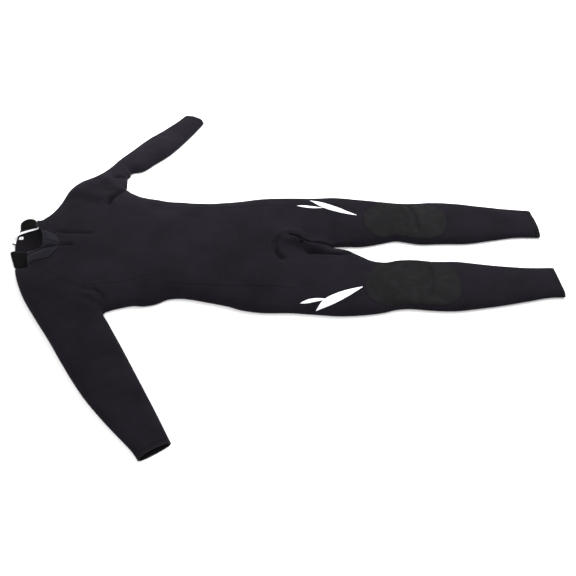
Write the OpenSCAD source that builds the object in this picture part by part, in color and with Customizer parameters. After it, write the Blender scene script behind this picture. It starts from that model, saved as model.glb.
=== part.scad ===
// Full-length neoprene wetsuit, laid out on its back on a flat surface.
// Frame: +Z up, +X from the neck to the ankles, the wearer's left is +Y.
// The origin is on the supporting surface, at the centre of the bounding box.
// Each tubular part of the suit is a crowned front panel on a flat back panel,
// with an open space between them for the body.

/* [Fabric] */
// Thickness of the front panels
front_t = 3.5; // [3:0.5:4.5]
// Thickness of the back panels
back_t = 4.5; // [4.5:0.5:4.5]
// Thickness of the abrasion layer over the knees
pad_t = 1.2; // [0.8:0.1:1.5]
// Thickness of the printed thigh marks
print_t = 0.5; // [0.4:0.1:0.6]

/* [Loft] */
// Open height between front and back at the middle of the trunk
trunk_gap = 40; // [30:1:46]
// Open height inside the thigh
thigh_gap = 32; // [24:1:34]
// Open height inside the ankle
ankle_gap = 15; // [12:1:18]
// Open height inside the right sleeve, at the top
right_sleeve_gap = 28; // [20:1:30]
// Open height inside the left sleeve, at the top
left_sleeve_gap = 40; // [34:1:42]

/* [Layout] */
// Angle of the right sleeve away from the trunk
right_sleeve_angle = -57; // [-58:1:-56]
// Angle of the left sleeve away from the trunk
left_sleeve_angle = 54; // [53:1:55]
// Clear gap between two parts that fold against each other
fold_gap = 0.6; // [0.4:0.1:0.8]

/* [Zip] */
// Across position of the zip's centre line
zip_y = 12; // [10:1:14]
// Top end of the straight part of the zip
zip_top = -700; // [-700:1:-696]
// Bottom end of the zip
zip_bottom = -225; // [-235:1:-215]
// Rest position of the slider
slider_x = -640; // [-650:1:-630]

/* [Hidden] */

hip_x = 30;
knee_x = 385;
g = fold_gap / 2;

// ---- sleeve roots: the armhole lines that the trunk and the sleeves share
right_sleeve_at = [-549, -282.5];
left_sleeve_at = [-545, 334.5];
function root_point(at, a, y) = [at[0] - y * sin(a), at[1] + y * cos(a)];
right_out = root_point(right_sleeve_at, right_sleeve_angle, -83);
right_pit = root_point(right_sleeve_at, right_sleeve_angle, 83);
left_out = root_point(left_sleeve_at, left_sleeve_angle, 49);
left_pit = root_point(left_sleeve_at, left_sleeve_angle, -49);

// ---- trunk outline: y of the right and left edges against x
right_edge = [[-745, -66], [-725, -150], [-700, -200], [-655, -270], right_out, right_pit,
  [-440, -222], [-375, -214], [-310, -190], [-275, -186], [-210, -198], [-140, -216], [-75, -236], [0, -241], [30, -242]];
left_edge = [[-745, 120], [-725, 130], [-700, 175], [-670, 270], [-640, 315], left_out, left_pit,
  [-470, 250], [-430, 229], [-350, 210], [-240, 199], [-165, 204], [-125, 210], [-50, 222], [30, 224]];
// raglan seams, from the neckline to the armpits, and the side seams below them
right_seam = [[-745, -62], [-700, -56], [-650, -48], [right_pit[0], -200], [-275, -150], [-75, -190], [30, -200]];
left_seam = [[-745, 116], [-700, 110], [-650, 98], [left_pit[0], 250], [-350, 172], [-240, 162], [-75, 176], [30, 184]];
trunk_height = [[-745, 14], [-700, 24], [-650, 34], [-560, 38], [-400, trunk_gap], [-250, trunk_gap - 2], [-100, trunk_gap - 2], [30, thigh_gap]];
xs_trunk = [-745, -725, -700, -670, -655, -650, -640, right_out[0], left_out[0], -550, left_pit[0], right_pit[0], -440, -410, -375, -350, -310, -275, -240, -210, -165, -140, -125, -100, -75, -50, -20, 0, 30];

// ---- leg outlines
right_leg_out = [[30, -242], [88, -244], [153, -251], [219, -248], [285, -237], [352, -227], [385, -228], [430, -230], [482, -232], [549, -222], [618, -210], [687, -196], [758, -181], [796, -173]];
right_leg_in = [[30, -4], [100, 0], [160, 4], [200, -6], [235, -26], [270, -44], [303, -52], [340, -48], [385, -45], [443, -48], [514, -50], [581, -60], [649, -68], [718, -74], [796, -80]];
left_leg_in = [[30, 0], [100, 6], [160, 18], [200, 22], [238, 26], [274, 34], [311, 42], [348, 48], [385, 44], [418, 40], [490, 40], [563, 44], [638, 56], [713, 68], [788, 73]];
left_leg_out = [[30, 224], [99, 224], [175, 226], [250, 217], [325, 207], [385, 199], [430, 201], [475, 203], [549, 197], [621, 183], [693, 170], [788, 162]];
leg_height = [[30, thigh_gap], [200, thigh_gap], [385, 26], [480, 27], [620, 22], [796, ankle_gap]];
xs_thigh = [30 + g, 60, 90, 120, 153, 185, 219, 252, 285, 318, 352, 385 - g];
xs_shin = [385 + g, 417, 450, 482, 515, 549, 583, 618, 652, 687, 722, 758, 782];

// ---- sleeve outlines in their own frames: x along the sleeve from the armpit line, y across it
right_sleeve_lo = [[0, -83], [100, -77], [177, -75], [240, -70], [300, -62], [350, -53], [394, -43], [442, -33], [474, -27]];
right_sleeve_hi = [[0, 83], [46, 77], [134, 72], [220, 67], [300, 63], [378, 59], [455, 52], [474, 48]];
right_sleeve_height = [[0, right_sleeve_gap], [215, 25], [474, 13]];
left_sleeve_lo = [[0, -48], [60, -40], [100, -34], [155, -38], [213, -39], [277, -37], [357, -24], [420, -8]];
left_sleeve_hi = [[0, 49], [80, 54], [140, 58], [200, 58], [260, 58], [317, 55], [380, 52], [420, 50]];
left_sleeve_height = [[0, left_sleeve_gap], [200, 36], [420, 20]];
right_elbow = 215;
left_elbow = 195;

// ---- shared shapes
// crown of a flattened tube: 0 at both edges, 1 in the middle
function crown(u) = pow(max(0, 1 - pow(abs(2 * u - 1), 2.4)), 0.62);
function lerp(a, b, k) = a + (b - a) * k;
function unlerp(a, b, v) = (v - a) / (b - a);

// open height of the trunk at a point: the trunk's own crown, lifted where the sleeves join
function sleeve_lift(x, u) = 
    right_sleeve_gap * crown(min(1, max(0, unlerp(right_out[0], right_pit[0], x)))) * pow(1 - u, 3)
  + left_sleeve_gap * crown(min(1, max(0, unlerp(left_out[0], left_pit[0], x)))) * pow(u, 3);
function trunk_z(x, y) =
  let (a = lookup(x, right_edge), b = lookup(x, left_edge), u = min(1, max(0, unlerp(a, b, y))))
  lookup(x, trunk_height) * crown(u) + sleeve_lift(x, u);

// a sheet of even upright thickness between two grids of points, rows along x and columns along y
module sheet(rows, t) {
  r = len(rows); c = len(rows[0]);
  pts = [for (k = [0, 1]) for (i = [0:r - 1]) for (j = [0:c - 1]) rows[i][j] - [0, 0, k * t]];
  function T(i, j) = i * c + j;
  function B(i, j) = r * c + i * c + j;
  faces = concat(
    [for (i = [0:r - 2]) for (j = [0:c - 2]) for (k = [0, 1]) k == 0 ? [T(i, j), T(i, j + 1), T(i + 1, j + 1)] : [T(i, j), T(i + 1, j + 1), T(i + 1, j)]],
    [for (i = [0:r - 2]) for (j = [0:c - 2]) for (k = [0, 1]) k == 0 ? [B(i, j), B(i + 1, j + 1), B(i, j + 1)] : [B(i, j), B(i + 1, j), B(i + 1, j + 1)]],
    [for (i = [0:r - 2]) for (k = [0, 1]) k == 0 ? [T(i, 0), T(i + 1, 0), B(i + 1, 0)] : [T(i, 0), B(i + 1, 0), B(i, 0)]],
    [for (i = [0:r - 2]) for (k = [0, 1]) k == 0 ? [T(i + 1, c - 1), T(i, c - 1), B(i, c - 1)] : [T(i + 1, c - 1), B(i, c - 1), B(i + 1, c - 1)]],
    [for (j = [0:c - 2]) for (k = [0, 1]) k == 0 ? [T(0, j + 1), T(0, j), B(0, j)] : [T(0, j + 1), B(0, j), B(0, j + 1)]],
    [for (j = [0:c - 2]) for (k = [0, 1]) k == 0 ? [T(r - 1, j), T(r - 1, j + 1), B(r - 1, j + 1)] : [T(r - 1, j), B(r - 1, j + 1), B(r - 1, j)]]);
  polyhedron(pts, faces, convexity = 6);
}

// front of the trunk between two edge tables
module trunk_front(xs, lo, hi, n) {
  sheet([for (x = xs) let (a = lookup(x, lo), b = lookup(x, hi))
    [for (j = [0:n]) let (y = lerp(a, b, j / n)) [x, y, back_t + front_t + trunk_z(x, y)]]], front_t);
}

// crowned front of a limb: rows at xs, n columns between the two edges
function limb_rows(xs, lo, hi, ht, cols, lift = 0) =
  [for (x = xs) let (a = lookup(x, lo), b = lookup(x, hi), h = lookup(x, ht))
    [for (u = cols) [x, lerp(a, b, u), back_t + front_t + lift + h * crown(u)]]];
cols = [0, 0.03, 0.09, 0.18, 0.28, 0.39, 0.5, 0.61, 0.72, 0.82, 0.91, 0.97, 1];
module limb_front(xs, lo, hi, ht) { sheet(limb_rows(xs, lo, hi, ht, cols), front_t); }
module limb_patch(xs, lo, hi, ht, c0, c1, t) {
  sheet(limb_rows(xs, lo, hi, ht, [for (i = [c0:c1]) cols[i]], t), t);
}
// flat back of a limb
module limb_back(xs, lo, hi) {
  linear_extrude(back_t) polygon(concat(
    [for (x = xs) [x, lookup(x, lo)]], [for (i = [len(xs) - 1:-1:0]) [xs[i], lookup(xs[i], hi)]]));
}
// closed band round the end of a limb
module limb_hem(x0, x1, lo, hi, ht) {
  n = len(cols);
  function ring(x, k) = let (a = lookup(x, lo), b = lookup(x, hi), h = lookup(x, ht))
    concat([for (u = cols) [x, lerp(a + k * front_t, b - k * front_t, u), back_t + front_t * (1 - k) + h * crown(u)]],
      [[x, b - k * front_t, k * back_t], [x, a + k * front_t, k * back_t]]);
  m = n + 2;
  pts = concat(ring(x0, 0), ring(x1, 0), ring(x0, 1), ring(x1, 1));
  faces = concat(
    [for (j = [0:m - 1]) for (k = [0, 1]) let (q = (j + 1) % m) k == 0 ? [j, q, m + q] : [j, m + q, m + j]],
    [for (j = [0:m - 1]) for (k = [0, 1]) let (q = (j + 1) % m) k == 0 ? [2 * m + j, 3 * m + q, 2 * m + q] : [2 * m + j, 3 * m + j, 3 * m + q]],
    [for (j = [0:m - 1]) for (k = [0, 1]) let (q = (j + 1) % m) k == 0 ? [j, 2 * m + q, q] : [j, 2 * m + j, 2 * m + q]],
    [for (j = [0:m - 1]) for (k = [0, 1]) let (q = (j + 1) % m) k == 0 ? [m + j, m + q, 3 * m + q] : [m + j, 3 * m + q, 3 * m + j]]);
  polyhedron(pts, faces, convexity = 6);
}

// ---- trunk
module chest_panel() { color([0.13, 0.12, 0.15])
  trunk_front([for (x = xs_trunk) if (x >= -650) x], right_seam, left_seam, 16); }
module right_shoulder_panel() { color([0.13, 0.12, 0.15])
  trunk_front([for (x = xs_trunk) if (x <= right_pit[0]) x], right_edge, right_seam, 8); }
module left_shoulder_panel() { color([0.13, 0.12, 0.15])
  trunk_front([for (x = xs_trunk) if (x <= left_pit[0]) x], left_seam, left_edge, 8); }
module right_side_panel() { color([0.12, 0.11, 0.14])
  trunk_front([for (x = xs_trunk) if (x >= right_pit[0]) x], right_edge, right_seam, 5); }
module left_side_panel() { color([0.12, 0.11, 0.14])
  trunk_front([for (x = xs_trunk) if (x >= left_pit[0]) x], left_seam, left_edge, 5); }

back_split = -130;
function back_outline(x0, x1) = let (xs = [for (x = xs_trunk) if (x >= x0 && x <= x1) x])
  concat([for (x = xs) [x, lookup(x, right_edge)]], [for (i = [len(xs) - 1:-1:0]) [xs[i], lookup(xs[i], left_edge)]]);
module upper_back_panel() { color([0.13, 0.12, 0.15])
  linear_extrude(back_t) difference() {
    polygon(back_outline(-745, -140));
    translate([-760, zip_y - 13]) square([760 + zip_bottom + 8, 26]);
    // room for the folded neck behind the opening
    translate([-760, -66]) square([760 - 706, 184]);
  }
}
module seat_panel() { color([0.13, 0.12, 0.15])
  linear_extrude(back_t) difference() {
    polygon(back_outline(-140, 30));
    polygon([[30.5, -60], [-60, -4], [-60, 4], [30.5, 60]]);
  }
}
module crotch_gusset() { color([0.10, 0.10, 0.11])
  linear_extrude(back_t) polygon([[30, -59], [-59.4, -3.6], [-59.4, 3.6], [30, 59]]);
}

// ---- collar
// front and sides of the short stand-up collar, rising from the neckline seam
module front_collar() { color([0.16, 0.15, 0.19])
  sheet([for (i = [0:4]) let (x = lerp(-704, -650.4, i / 4), a = lookup(x, right_seam) + 0.4, b = lookup(x, left_seam) - 0.4)
    [for (j = [0:14]) let (y = lerp(a, b, j / 14)) [x, y, back_t + front_t + trunk_z(x, y) + (4 + 5 * (1 - i / 4)) * crown(j / 14)]]], 3);
}
module collar_right_end() { color([0.12, 0.12, 0.13])
  linear_extrude(back_t) polygon([[-706, zip_y - 13], [-706, -66], [-770, -66], [-797, -10], [-800, 0], [-790, zip_y - 2]]);
}
module collar_left_end() { color([0.12, 0.12, 0.13])
  linear_extrude(back_t) polygon([[-706, zip_y + 13], [-780, zip_y + 4], [-797, 40], [-796, 95], [-746, 108], [-741, 118], [-706, 118]]);
}
module loop_patch() { color([0.08, 0.08, 0.08])
  translate([0, 0, back_t]) linear_extrude(1.5) polygon([[-740, -62], [-767, -62], [-793, -8], [-745, -4]]);
}
// rounded closing tab, lying flat beyond the collar; it folds up and over about its inner edge
module tab_frame() { translate([-796, 95, 0]) rotate([0, 0, atan2(13, 50)]) children(); }
module collar_tab() { color([0.07, 0.07, 0.07])
  tab_frame() translate([0, 0.4, 0.6]) linear_extrude(3.5)
    union() { square([50, 28]); translate([25, 28]) circle(r = 25, $fn = 64); }
}
module hook_patch() { color([0.05, 0.05, 0.05])
  tab_frame() translate([0, 0.4, 4.1]) linear_extrude(1.2)
    union() { translate([5, 6]) square([40, 22]); translate([25, 28]) circle(r = 20, $fn = 64); }
}
module neck_label() { color([0.86, 0.87, 0.9])
  translate([-786, 50, back_t]) rotate([0, 0, 12]) cube([12, 9, 1.2]);
}

// ---- zip: a tape and a row of teeth on each side of the opening, carried on facing strips
tape_z = back_t + 3;
module zip_facing(side) {
  translate([-706, zip_y + (side > 0 ? 13 : -25), back_t]) cube([706 + zip_bottom + 8, 12, 3]);
}
module zip_tape(side) {
  translate([zip_top, zip_y + (side > 0 ? 1.3 : -25), tape_z]) cube([zip_bottom - zip_top, 23.7, 0.8]);
}
module zip_chain(side) {
  translate([zip_top, zip_y + (side > 0 ? 1.2 : -4.4), tape_z - 1.1]) cube([zip_bottom - zip_top - 8, 3.2, 1.1]);
  translate([zip_top, zip_y + (side > 0 ? 1.2 : -4.4), tape_z + 0.8]) cube([zip_bottom - zip_top - 8, 3.2, 1.1]);
}
module zip_facing_right() { color([0.11, 0.10, 0.13]) zip_facing(-1); }
module zip_facing_left() { color([0.11, 0.10, 0.13]) zip_facing(1); }
module zip_tape_right() { color([0.10, 0.10, 0.11]) zip_tape(-1); }
module zip_tape_left() { color([0.10, 0.10, 0.11]) zip_tape(1); }
module zip_chain_right() { color([0.86, 0.87, 0.89]) zip_chain(-1); }
module zip_chain_left() { color([0.86, 0.87, 0.89]) zip_chain(1); }
// free top end of the left row and its light edge, curling up out of the neck opening
module zip_top_end() { color([0.86, 0.87, 0.89])
  translate([-741, 100, back_t]) rotate([0, 0, 180 + 35]) cube([66, 2.4, 7]);
}
// crimped across both tapes below the last teeth
module zip_bottom_stop() { color([0.6, 0.6, 0.62])
  translate([zip_bottom - 6, zip_y - 5, tape_z - 1.2]) cube([5, 10, 1.2]);
}
// inner flap behind the teeth, sewn along the left facing only
module zip_guard_flap() { color([0.10, 0.10, 0.11])
  translate([-690, zip_y, 0]) rotate([90, 0, 90]) linear_extrude(470)
    polygon([[25, back_t], [27, back_t], [27, tape_z + 6.4], [-30, tape_z + 6.4], [-30, tape_z + 4.4], [25, tape_z + 4.4]]);
}
// the slider wraps both rows and runs along them; a lug outside it carries the pull's pin
pin_z = 2.6;
pin_x = slider_x + 2;
module zip_slider() { color([0.62, 0.63, 0.66]) {
  translate([slider_x, zip_y, 0]) difference() {
    translate([-9, -7.6, tape_z - 2.6]) cube([18, 15.2, 6]);
    translate([-10, -5.4, tape_z - 1.5]) cube([20, 10.8, 3.8]);
    translate([-10, -8, tape_z - 0.5]) cube([20, 16, 1.8]);
  }
  // wedge between the two rows, joining the inner and outer plates
  translate([slider_x - 8, zip_y - 0.8, tape_z - 2]) cube([7, 1.6, 5]);
  // two ears and the pin
  for (k = [-1, 1]) translate([pin_x - 2.2, zip_y + k * 3.4 - 0.8, 0.8]) cube([4.4, 1.6, tape_z - 2.6 - 0.8 + 0.5]);
  translate([pin_x, zip_y - 3.6, pin_z]) rotate([-90, 0, 0]) cylinder(r = 0.8, h = 7.2, $fn = 32);
} }
module zip_pull() { color([0.55, 0.56, 0.6]) {
  difference() {
    union() {
      translate([pin_x, zip_y - 2.2, pin_z]) rotate([-90, 0, 0]) cylinder(r = 1.9, h = 4.4, $fn = 32);
      translate([pin_x, zip_y - 2.2, 0.7]) cube([7, 4.4, 1.4]);
      translate([pin_x + 6, zip_y - 4, 0.7]) cube([18, 8, 1.4]);
      translate([pin_x + 24, zip_y, 0.7]) cylinder(r = 4, h = 1.4, $fn = 32);
    }
    translate([pin_x, zip_y - 3, pin_z]) rotate([-90, 0, 0]) cylinder(r = 0.87, h = 6, $fn = 32);
    translate([pin_x + 23, zip_y, 0]) cylinder(r = 2, h = 4, $fn = 32);
  }
} }

// ---- sleeves
module right_sleeve() { translate(right_sleeve_at) rotate([0, 0, right_sleeve_angle]) children(); }
module left_sleeve() { translate(left_sleeve_at) rotate([0, 0, left_sleeve_angle]) children(); }
xs_r_upper = [g, 40, 80, 120, 160, right_elbow - g];
xs_r_fore = [right_elbow + g, 250, 290, 330, 370, 410, 440, 462];
xs_l_upper = [g, 30, 60, 100, 140, left_elbow - g];
xs_l_fore = [left_elbow + g, 230, 265, 300, 340, 375, 408];
module right_upper_sleeve_front() { color([0.12, 0.11, 0.14]) right_sleeve() limb_front(xs_r_upper, right_sleeve_lo, right_sleeve_hi, right_sleeve_height); }
module right_upper_sleeve_back() { color([0.12, 0.11, 0.14]) right_sleeve() limb_back(xs_r_upper, right_sleeve_lo, right_sleeve_hi); }
module right_forearm_front() { color([0.12, 0.11, 0.14]) right_sleeve() limb_front(xs_r_fore, right_sleeve_lo, right_sleeve_hi, right_sleeve_height); }
module right_forearm_back() { color([0.12, 0.11, 0.14]) right_sleeve() limb_back(xs_r_fore, right_sleeve_lo, right_sleeve_hi); }
module right_wrist_hem() { color([0.09, 0.09, 0.10]) right_sleeve() limb_hem(462, 474, right_sleeve_lo, right_sleeve_hi, right_sleeve_height); }
module left_upper_sleeve_front() { color([0.14, 0.13, 0.16]) left_sleeve() limb_front(xs_l_upper, left_sleeve_lo, left_sleeve_hi, left_sleeve_height); }
module left_upper_sleeve_back() { color([0.14, 0.13, 0.16]) left_sleeve() limb_back(xs_l_upper, left_sleeve_lo, left_sleeve_hi); }
module left_forearm_front() { color([0.14, 0.13, 0.16]) left_sleeve() limb_front(xs_l_fore, left_sleeve_lo, left_sleeve_hi, left_sleeve_height); }
module left_forearm_back() { color([0.14, 0.13, 0.16]) left_sleeve() limb_back(xs_l_fore, left_sleeve_lo, left_sleeve_hi); }
module left_wrist_hem() { color([0.09, 0.09, 0.10]) left_sleeve() limb_hem(408, 420, left_sleeve_lo, left_sleeve_hi, left_sleeve_height); }

// ---- legs
pad_up = [for (x = xs_thigh) if (x > 260) x];
pad_down = [for (x = xs_shin) if (x < 520) x];
print_x = [for (x = xs_thigh) if (x > 50 && x < 260) x];
module right_thigh_front() { color([0.15, 0.14, 0.17]) limb_front(xs_thigh, right_leg_out, right_leg_in, leg_height); }
module right_thigh_back() { color([0.15, 0.14, 0.17]) limb_back(xs_thigh, right_leg_out, right_leg_in); }
module right_thigh_print() { color([0.9, 0.91, 0.93]) limb_patch(print_x, right_leg_out, right_leg_in, leg_height, 3, 5, print_t); }
module right_knee_pad_upper() { color([0.14, 0.14, 0.14]) limb_patch(pad_up, right_leg_out, right_leg_in, leg_height, 2, 10, pad_t); }
module right_shin_front() { color([0.14, 0.13, 0.16]) limb_front(xs_shin, right_leg_out, right_leg_in, leg_height); }
module right_shin_back() { color([0.14, 0.13, 0.16]) limb_back(xs_shin, right_leg_out, right_leg_in); }
module right_knee_pad_lower() { color([0.14, 0.14, 0.14]) limb_patch(pad_down, right_leg_out, right_leg_in, leg_height, 2, 10, pad_t); }
module right_ankle_hem() { color([0.09, 0.09, 0.10]) limb_hem(782, 796, right_leg_out, right_leg_in, leg_height); }
module left_thigh_front() { color([0.15, 0.14, 0.17]) limb_front(xs_thigh, left_leg_in, left_leg_out, leg_height); }
module left_thigh_back() { color([0.15, 0.14, 0.17]) limb_back(xs_thigh, left_leg_in, left_leg_out); }
module left_thigh_print() { color([0.9, 0.91, 0.93]) limb_patch(print_x, left_leg_in, left_leg_out, leg_height, 7, 9, print_t); }
module left_knee_pad_upper() { color([0.14, 0.14, 0.14]) limb_patch(pad_up, left_leg_in, left_leg_out, leg_height, 2, 10, pad_t); }
xs_shin_l = [for (x = xs_shin) x == 782 ? 774 : x];
module left_shin_front() { color([0.14, 0.13, 0.16]) limb_front(xs_shin_l, left_leg_in, left_leg_out, leg_height); }
module left_shin_back() { color([0.14, 0.13, 0.16]) limb_back(xs_shin_l, left_leg_in, left_leg_out); }
module left_knee_pad_lower() { color([0.14, 0.14, 0.14]) limb_patch(pad_down, left_leg_in, left_leg_out, leg_height, 2, 10, pad_t); }
module left_ankle_hem() { color([0.09, 0.09, 0.10]) limb_hem(774, 788, left_leg_in, left_leg_out, leg_height); }

chest_panel();
right_shoulder_panel();
left_shoulder_panel();
right_side_panel();
left_side_panel();
upper_back_panel();
seat_panel();
crotch_gusset();
front_collar();
collar_right_end();
collar_left_end();
loop_patch();
collar_tab();
hook_patch();
neck_label();
zip_facing_right();
zip_facing_left();
zip_tape_right();
zip_tape_left();
zip_chain_right();
zip_chain_left();
zip_top_end();
zip_bottom_stop();
zip_guard_flap();
zip_slider();
zip_pull();
right_upper_sleeve_front();
right_upper_sleeve_back();
right_forearm_front();
right_forearm_back();
right_wrist_hem();
left_upper_sleeve_front();
left_upper_sleeve_back();
left_forearm_front();
left_forearm_back();
left_wrist_hem();
right_thigh_front();
right_thigh_back();
right_thigh_print();
right_knee_pad_upper();
right_shin_front();
right_shin_back();
right_knee_pad_lower();
right_ankle_hem();
left_thigh_front();
left_thigh_back();
left_thigh_print();
left_knee_pad_upper();
left_shin_front();
left_shin_back();
left_knee_pad_lower();
left_ankle_hem();
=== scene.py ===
import bpy, math
import numpy as np
from mathutils import Vector, Matrix
from mathutils.geometry import delaunay_2d_cdt
from mathutils.kdtree import KDTree


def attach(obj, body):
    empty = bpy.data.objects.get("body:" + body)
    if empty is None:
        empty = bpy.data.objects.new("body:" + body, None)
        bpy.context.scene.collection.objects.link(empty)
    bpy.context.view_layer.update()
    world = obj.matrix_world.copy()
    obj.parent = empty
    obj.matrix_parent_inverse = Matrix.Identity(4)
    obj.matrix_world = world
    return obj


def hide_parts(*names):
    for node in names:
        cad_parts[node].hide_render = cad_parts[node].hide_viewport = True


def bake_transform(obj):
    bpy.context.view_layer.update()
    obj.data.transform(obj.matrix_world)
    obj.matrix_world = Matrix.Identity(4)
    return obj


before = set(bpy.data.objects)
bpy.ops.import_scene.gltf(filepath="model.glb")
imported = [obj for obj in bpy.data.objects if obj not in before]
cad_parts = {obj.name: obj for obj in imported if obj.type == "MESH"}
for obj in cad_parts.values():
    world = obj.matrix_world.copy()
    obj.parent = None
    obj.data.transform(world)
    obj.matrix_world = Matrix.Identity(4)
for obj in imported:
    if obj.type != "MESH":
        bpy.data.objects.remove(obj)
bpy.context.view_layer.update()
SC = bpy.context.scene
SC.view_settings.view_transform = "Standard"
SC.view_settings.look = "None"
SC.view_settings.exposure = 0.0
SC.view_settings.gamma = 1.0
ALL = set(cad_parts)
REPLACED = set()

# ------------------------------------------------------------------ camera
E = math.radians(46.0)
LOOK = Vector((0.023, -0.143, 0.0))
DIST = 2.011
cam = bpy.data.cameras.new("camera")
cam.sensor_width = 36.0
cam.lens = 44.375
cam_o = bpy.data.objects.new("camera", cam)
SC.collection.objects.link(cam_o)
cam_o.location = LOOK + Vector((0, -DIST * math.cos(E), DIST * math.sin(E)))
cam_o.rotation_euler = (math.radians(90) - E, 0, 0)
cam.clip_start, cam.clip_end = 0.05, 30
SC.camera = cam_o

# ------------------------------------------------------------------ small helpers (millimetres)
def smooth(a, b, v):
    t = np.clip((np.asarray(v, float) - a) / (b - a), 0, 1)
    return t * t * (3 - 2 * t)

def curve(pts, step):
    """Points along a smooth line through pts, evenly spaced about step apart, both ends kept."""
    P = np.asarray(pts, float)
    if len(P) == 2:
        n = max(1, int(round(np.linalg.norm(P[1] - P[0]) / step)))
        return P[0] + (P[1] - P[0]) * np.linspace(0, 1, n + 1)[:, None]
    Q = np.vstack([2 * P[0] - P[1], P, 2 * P[-1] - P[-2]])
    out = []
    for i in range(1, len(Q) - 2):
        p0, p1, p2, p3 = Q[i - 1], Q[i], Q[i + 1], Q[i + 2]
        d1 = max(np.linalg.norm(p1 - p0) ** 0.5, 1e-6)
        d2 = max(np.linalg.norm(p2 - p1) ** 0.5, 1e-6)
        d3 = max(np.linalg.norm(p3 - p2) ** 0.5, 1e-6)
        m1 = (p1 - p0) / d1 - (p2 - p0) / (d1 + d2) + (p2 - p1) / d2
        m2 = (p2 - p1) / d2 - (p3 - p1) / (d2 + d3) + (p3 - p2) / d3
        m1, m2 = m1 * d2, m2 * d2
        for t in np.linspace(0, 1, 24, endpoint=False):
            t2, t3 = t * t, t * t * t
            out.append((2 * t3 - 3 * t2 + 1) * p1 + (t3 - 2 * t2 + t) * m1 + (-2 * t3 + 3 * t2) * p2 + (t3 - t2) * m2)
    out.append(P[-1])
    out = np.array(out)
    s = np.concatenate([[0], np.cumsum(np.linalg.norm(np.diff(out, axis=0), axis=1))])
    n = max(2, int(round(s[-1] / step)))
    u = np.linspace(0, s[-1], n + 1)
    return np.stack([np.interp(u, s, out[:, k]) for k in range(out.shape[1])], 1)

def seg_dist(P, A, B, chunk=4000):
    """Distance from each point of P to the nearest of the segments A-B, and that segment's number."""
    if len(P) * len(A) > 60000:
        m = np.maximum(1, np.ceil(np.linalg.norm(B - A, axis=1) / 1.8)).astype(int)
        own = np.repeat(np.arange(len(A)), m)
        t = (np.arange(len(own)) - np.repeat(np.cumsum(m) - m, m) + 0.5) / m[own]
        q = A[own] + (B - A)[own] * t[:, None]
        kd = KDTree(len(q))
        for i, p in enumerate(q.tolist()):
            kd.insert((p[0], p[1], 0.0), i)
        kd.balance()
        hit = own[[kd.find((p[0], p[1], 0.0))[1] for p in P.tolist()]]
        D = np.full(len(P), 1e18); I = hit.copy()
        for off in (0, -1, 1):
            k = np.clip(hit + off, 0, len(A) - 1)
            a, ab = A[k], B[k] - A[k]
            t = np.clip(((P - a) * ab).sum(1) / np.maximum((ab ** 2).sum(1), 1e-12), 0, 1)
            d2 = ((P - a - t[:, None] * ab) ** 2).sum(1)
            m = d2 < D
            D[m] = d2[m]; I[m] = k[m]
        return np.sqrt(D), I
    D = np.empty(len(P)); I = np.empty(len(P), int)
    AB = B - A; L2 = np.maximum((AB ** 2).sum(1), 1e-12)
    for i in range(0, len(P), chunk):
        p = P[i:i + chunk, None, :]
        t = np.clip(((p - A) * AB).sum(2) / L2, 0, 1)
        d2 = ((p - A - t[..., None] * AB) ** 2).sum(2)
        k = d2.argmin(1)
        I[i:i + chunk] = k
        D[i:i + chunk] = np.sqrt(d2[np.arange(len(k)), k])
    return D, I

def line_dist(P, line, closed=False):
    """Distance from points to a polyline, and how far along it (0 to 1)."""
    L = np.asarray(line, float)
    if closed:
        L = np.vstack([L, L[:1]])
    D, I = seg_dist(P, L[:-1], L[1:])
    A, B = L[:-1][I], L[1:][I]
    AB = B - A
    t = np.clip(((P - A) * AB).sum(1) / np.maximum((AB ** 2).sum(1), 1e-12), 0, 1)
    s = np.concatenate([[0], np.cumsum(np.linalg.norm(np.diff(L, axis=0), axis=1))])
    along = (s[I] + t * np.linalg.norm(AB, axis=1)) / s[-1]
    side = np.sign(AB[:, 0] * (P[:, 1] - A[:, 1]) - AB[:, 1] * (P[:, 0] - A[:, 0]))
    return D, along, side

def inside(P, poly):
    order = np.argsort(P[:, 1], kind="stable")
    x, y = P[order, 0], P[order, 1]
    r = np.zeros(len(P), bool)
    q = np.asarray(poly, float)
    for (x1, y1), (x2, y2) in zip(q.tolist(), np.roll(q, -1, 0).tolist()):
        if y1 != y2:
            i, j = np.searchsorted(y, (min(y1, y2), max(y1, y2)))
            if j > i:
                r[i:j] ^= x[i:j] < (x2 - x1) * (y[i:j] - y1) / (y2 - y1) + x1
    out = np.zeros(len(P), bool)
    out[order] = r
    return out

# ------------------------------------------------------------------ outline of the suit as it lies
RA, LA = np.array([-549.0, -282.5]), np.array([-545.0, 334.5])
R_DIR = np.array([math.cos(math.radians(-57)), math.sin(math.radians(-57))])
L_DIR = np.array([math.cos(math.radians(54)), math.sin(math.radians(54))])
R_NRM = np.array([-R_DIR[1], R_DIR[0]]); L_NRM = np.array([-L_DIR[1], L_DIR[0]])

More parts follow.
